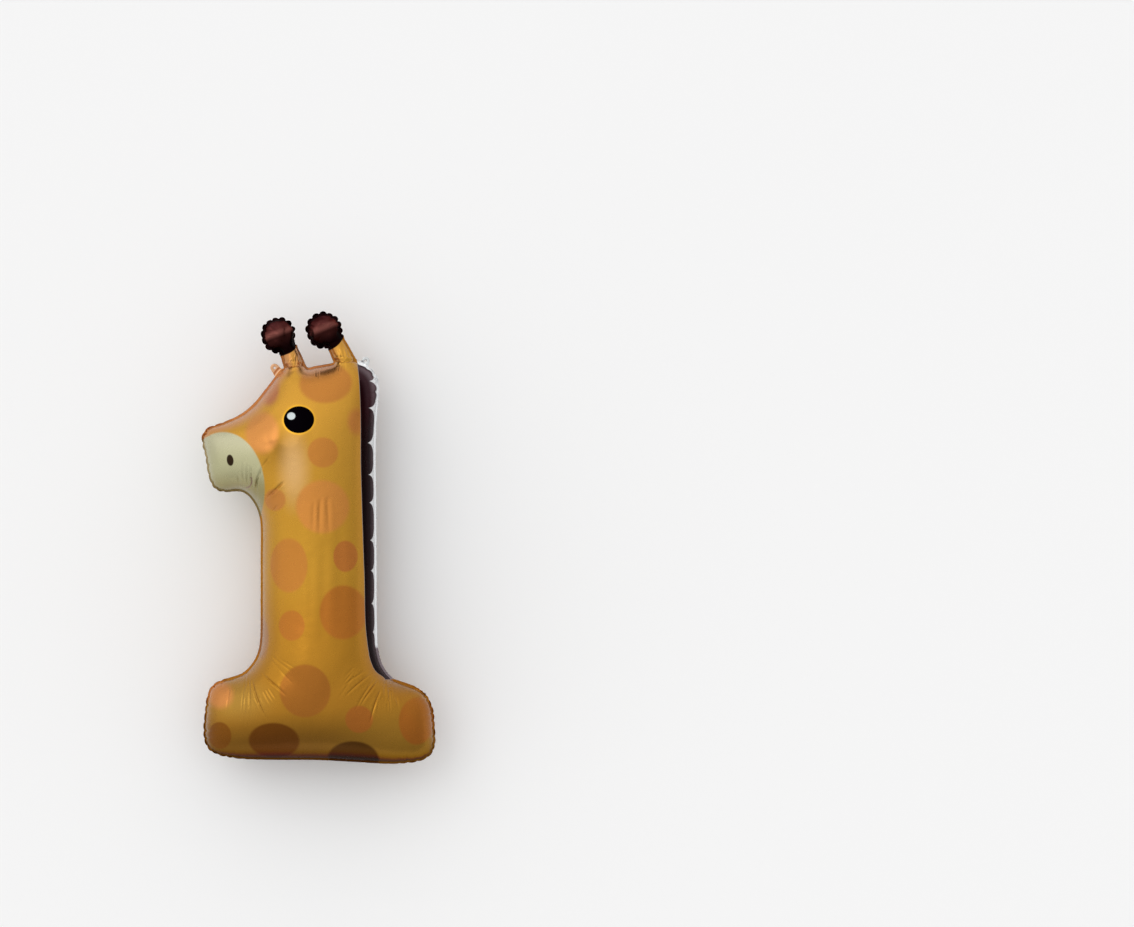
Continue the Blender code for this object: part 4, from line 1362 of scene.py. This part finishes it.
class FoilFinish(PropertyGroup):
    """Inks that have one colour, and the finish of the film."""

    bare_foil: colour_property("Bare foil", "Silver between the mane's lobes", "#e4e5e6")
    # A painted highlight along the forehead's rim, in a rosy tone.
    rim_highlight: colour_property("Forehead", "Rosy ink along the forehead's edge", "#c4895c")
    eye: colour_property("Eye", "Ink of the eye", "#020103")
    eye_ring: colour_property("Eye ring", "Bright line round the eye", "#d7a02f")
    glint: colour_property("Glint", "Printed light in the eye", "#a9b0b0")
    nostril: colour_property("Nostril", "Ink of the nostril", "#2e2114")
    smile: colour_property("Mouth", "Ink of the mouth's line", "#86675f")
    knob_weld: colour_property("Knob weld", "Ink on the weld round the knobs", "#140607")
    weld_shade: colour_property("Weld shade", "Multiplies the inks in the weld", "#cdb9ab")
    dark_sheen: colour_property("Dark sheen", "Tint of the sheen on the dark inks", "#6a4a4c")
    metallic: share_property("Metal", "Share of the light that the metal layer returns", 0.86)
    clear_layer: share_property("Clear layer", "Specular level of the clear layer", 0.2)
    least_roughness: share_property("Least roughness", "Roughness where the film is glossiest", 0.24)
    most_roughness: share_property("Most roughness", "Roughness where the film is dullest", 0.32)
    mottle_size: length_property("Mottle", "Size of the film's uneven patches", 0.011)
    rib_pitch: length_property("Weld ribs", "Distance between the sealing bar's ribs", 0.0009)
    relief: length_property("Relief", "Height of the ribs and the patches", 0.0004)


class StageSettings(PropertyGroup):
    """Floor, lights and camera."""

    floor_colour: colour_property("Floor", "Colour of the paper floor", "#f3f3f3")
    floor_size: length_property("Floor size", "Side of the square floor", 14.0)
    key_strength: strength_property("Key light", "Strength of the soft light from the upper left", 0.24)
    key_angle: angle_property(
        "Key size", "Angle that the soft light fills, as seen from the balloon", math.radians(36)
    )
    bright_wall: strength_property("Bright wall", "Strength of the room at its upper left", 1.232)
    dim_wall: strength_property("Dim wall", "Strength of the room at its lower right", 0.462)
    lens: FloatProperty(
        name="Lens", description="Focal length of the camera in millimetres", default=200.0, unit="CAMERA"
    )


class BALLOON_OT_envelope(Operator):
    """Build the printed foil envelope with its weld, tabs, puckers and creases"""

    bl_idname = "balloon.envelope"
    bl_label = "Foil envelope"

    def execute(self, context):
        balloon = build_envelope(context.scene.foil_sizes)
        balloon.data.materials.append(printed_film(context.scene.foil_finish))
        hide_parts("foil_balloon")
        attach(balloon, "root")
        return {"FINISHED"}


class BALLOON_OT_stage(Operator):
    """Lay the paper floor and set the soft lights and the camera above it"""

    bl_idname = "balloon.stage"
    bl_label = "Floor, lights and camera"

    def execute(self, context):
        settings = context.scene.stage_settings
        lay_floor(settings)
        light_room(context.scene, settings)
        place_camera(context.scene, settings)
        return {"FINISHED"}


def lay_floor(settings):
    """A square of paper under the balloon."""
    half = settings.floor_size / 2
    mesh = bpy.data.meshes.new("paper_floor")
    corners = [(-half, -half, 0), (half, -half, 0), (half, half, 0), (-half, half, 0)]
    mesh.from_pydata(corners, [], [(0, 1, 2, 3)])
    mesh.materials.append(matt_floor(settings.floor_colour))
    floor = bpy.data.objects.new("paper_floor", mesh)
    bpy.context.scene.collection.objects.link(floor)


BRIGHT_SIDE = Vector((-0.50, 0.62, 0.40))
WALL_SPREAD = 0.9  # cosine of the heading at which the walls reach their full tones
KEY_HEADING = Vector((0.55, -0.60, -1.0))
SEEN_DEPTH = 4  # heights of the camera that it sees


def light_room(scene, settings):
    """A white room, brighter at its upper left than at its lower right, and a broad soft light from there."""
    world = bpy.data.worlds.new("white_room")
    scene.world = world
    world.use_nodes = True
    tree = world.node_tree
    heading = add_node(tree, "ShaderNodeTexCoord").outputs["Generated"]
    facing = add_node(
        tree, "ShaderNodeVectorMath", {0: heading, 1: BRIGHT_SIDE.normalized()}, operation="DOT_PRODUCT"
    ).outputs["Value"]
    walls = {"To Min": settings.dim_wall, "To Max": settings.bright_wall}
    spread = {"From Min": -WALL_SPREAD, "From Max": WALL_SPREAD}
    tone = add_node(tree, "ShaderNodeMapRange", {"Value": facing, **spread, **walls}).outputs[0]
    tree.links.new(tone, tree.nodes["Background"].inputs["Color"])
    key = bpy.data.lights.new("key", "SUN")
    key.energy = settings.key_strength
    key.angle = settings.key_angle
    key_object = bpy.data.objects.new("key", key)
    scene.collection.objects.link(key_object)
    key_object.rotation_euler = KEY_HEADING.to_track_quat("-Z", "Y").to_euler()


def place_camera(scene, settings):
    """Straight above, with the balloon where the photograph has it in its frame."""
    metres_per_pixel = FIGURE_HEIGHT / FIGURE_PIXELS
    offset = (PHOTO_FRAME / 2 - BALLOON_MIDDLE) * metres_per_pixel
    camera = bpy.data.cameras.new("camera")
    camera.lens = settings.lens
    rise = camera.lens * PHOTO_FRAME[0] * metres_per_pixel / camera.sensor_width
    camera.clip_end = SEEN_DEPTH * rise
    camera_object = bpy.data.objects.new("camera", camera)
    camera_object.location = (offset[0], -offset[1], (CAD_BOX[0][2] + CAD_BOX[1][2]) / 2 + rise)
    scene.collection.objects.link(camera_object)
    scene.camera = camera_object


class BALLOON_PT_sidebar(Panel):
    """Lists the balloon's sizes, its stage and the two steps that build them"""

    bl_idname = "BALLOON_PT_sidebar"
    bl_label = "Giraffe foil balloon"
    bl_space_type = "VIEW_3D"
    bl_region_type = "UI"
    bl_category = "Balloon"

    def draw(self, context):
        for group, steps in (
            (context.scene.foil_sizes, []),
            (context.scene.foil_finish, [BALLOON_OT_envelope]),
            (context.scene.stage_settings, [BALLOON_OT_stage]),
        ):
            box = self.layout.box()
            for name in group.bl_rna.properties.keys():
                if name not in ("rna_type", "name"):
                    box.prop(group, name)
            for step in steps:
                box.operator(step.bl_idname)


CLASSES = (FoilSizes, FoilFinish, StageSettings, BALLOON_OT_envelope, BALLOON_OT_stage, BALLOON_PT_sidebar)


def register():
    for cls in CLASSES:
        bpy.utils.register_class(cls)
    bpy.types.Scene.foil_sizes = PointerProperty(type=FoilSizes)
    bpy.types.Scene.foil_finish = PointerProperty(type=FoilFinish)
    bpy.types.Scene.stage_settings = PointerProperty(type=StageSettings)


def unregister():
    del bpy.types.Scene.stage_settings
    del bpy.types.Scene.foil_finish
    del bpy.types.Scene.foil_sizes
    for cls in reversed(CLASSES):
        bpy.utils.unregister_class(cls)


def main():
    register()
    bpy.context.scene.view_settings.view_transform = "Standard"
    bpy.ops.balloon.envelope()
    bpy.ops.balloon.stage()


if __name__ == "__main__":
    main()
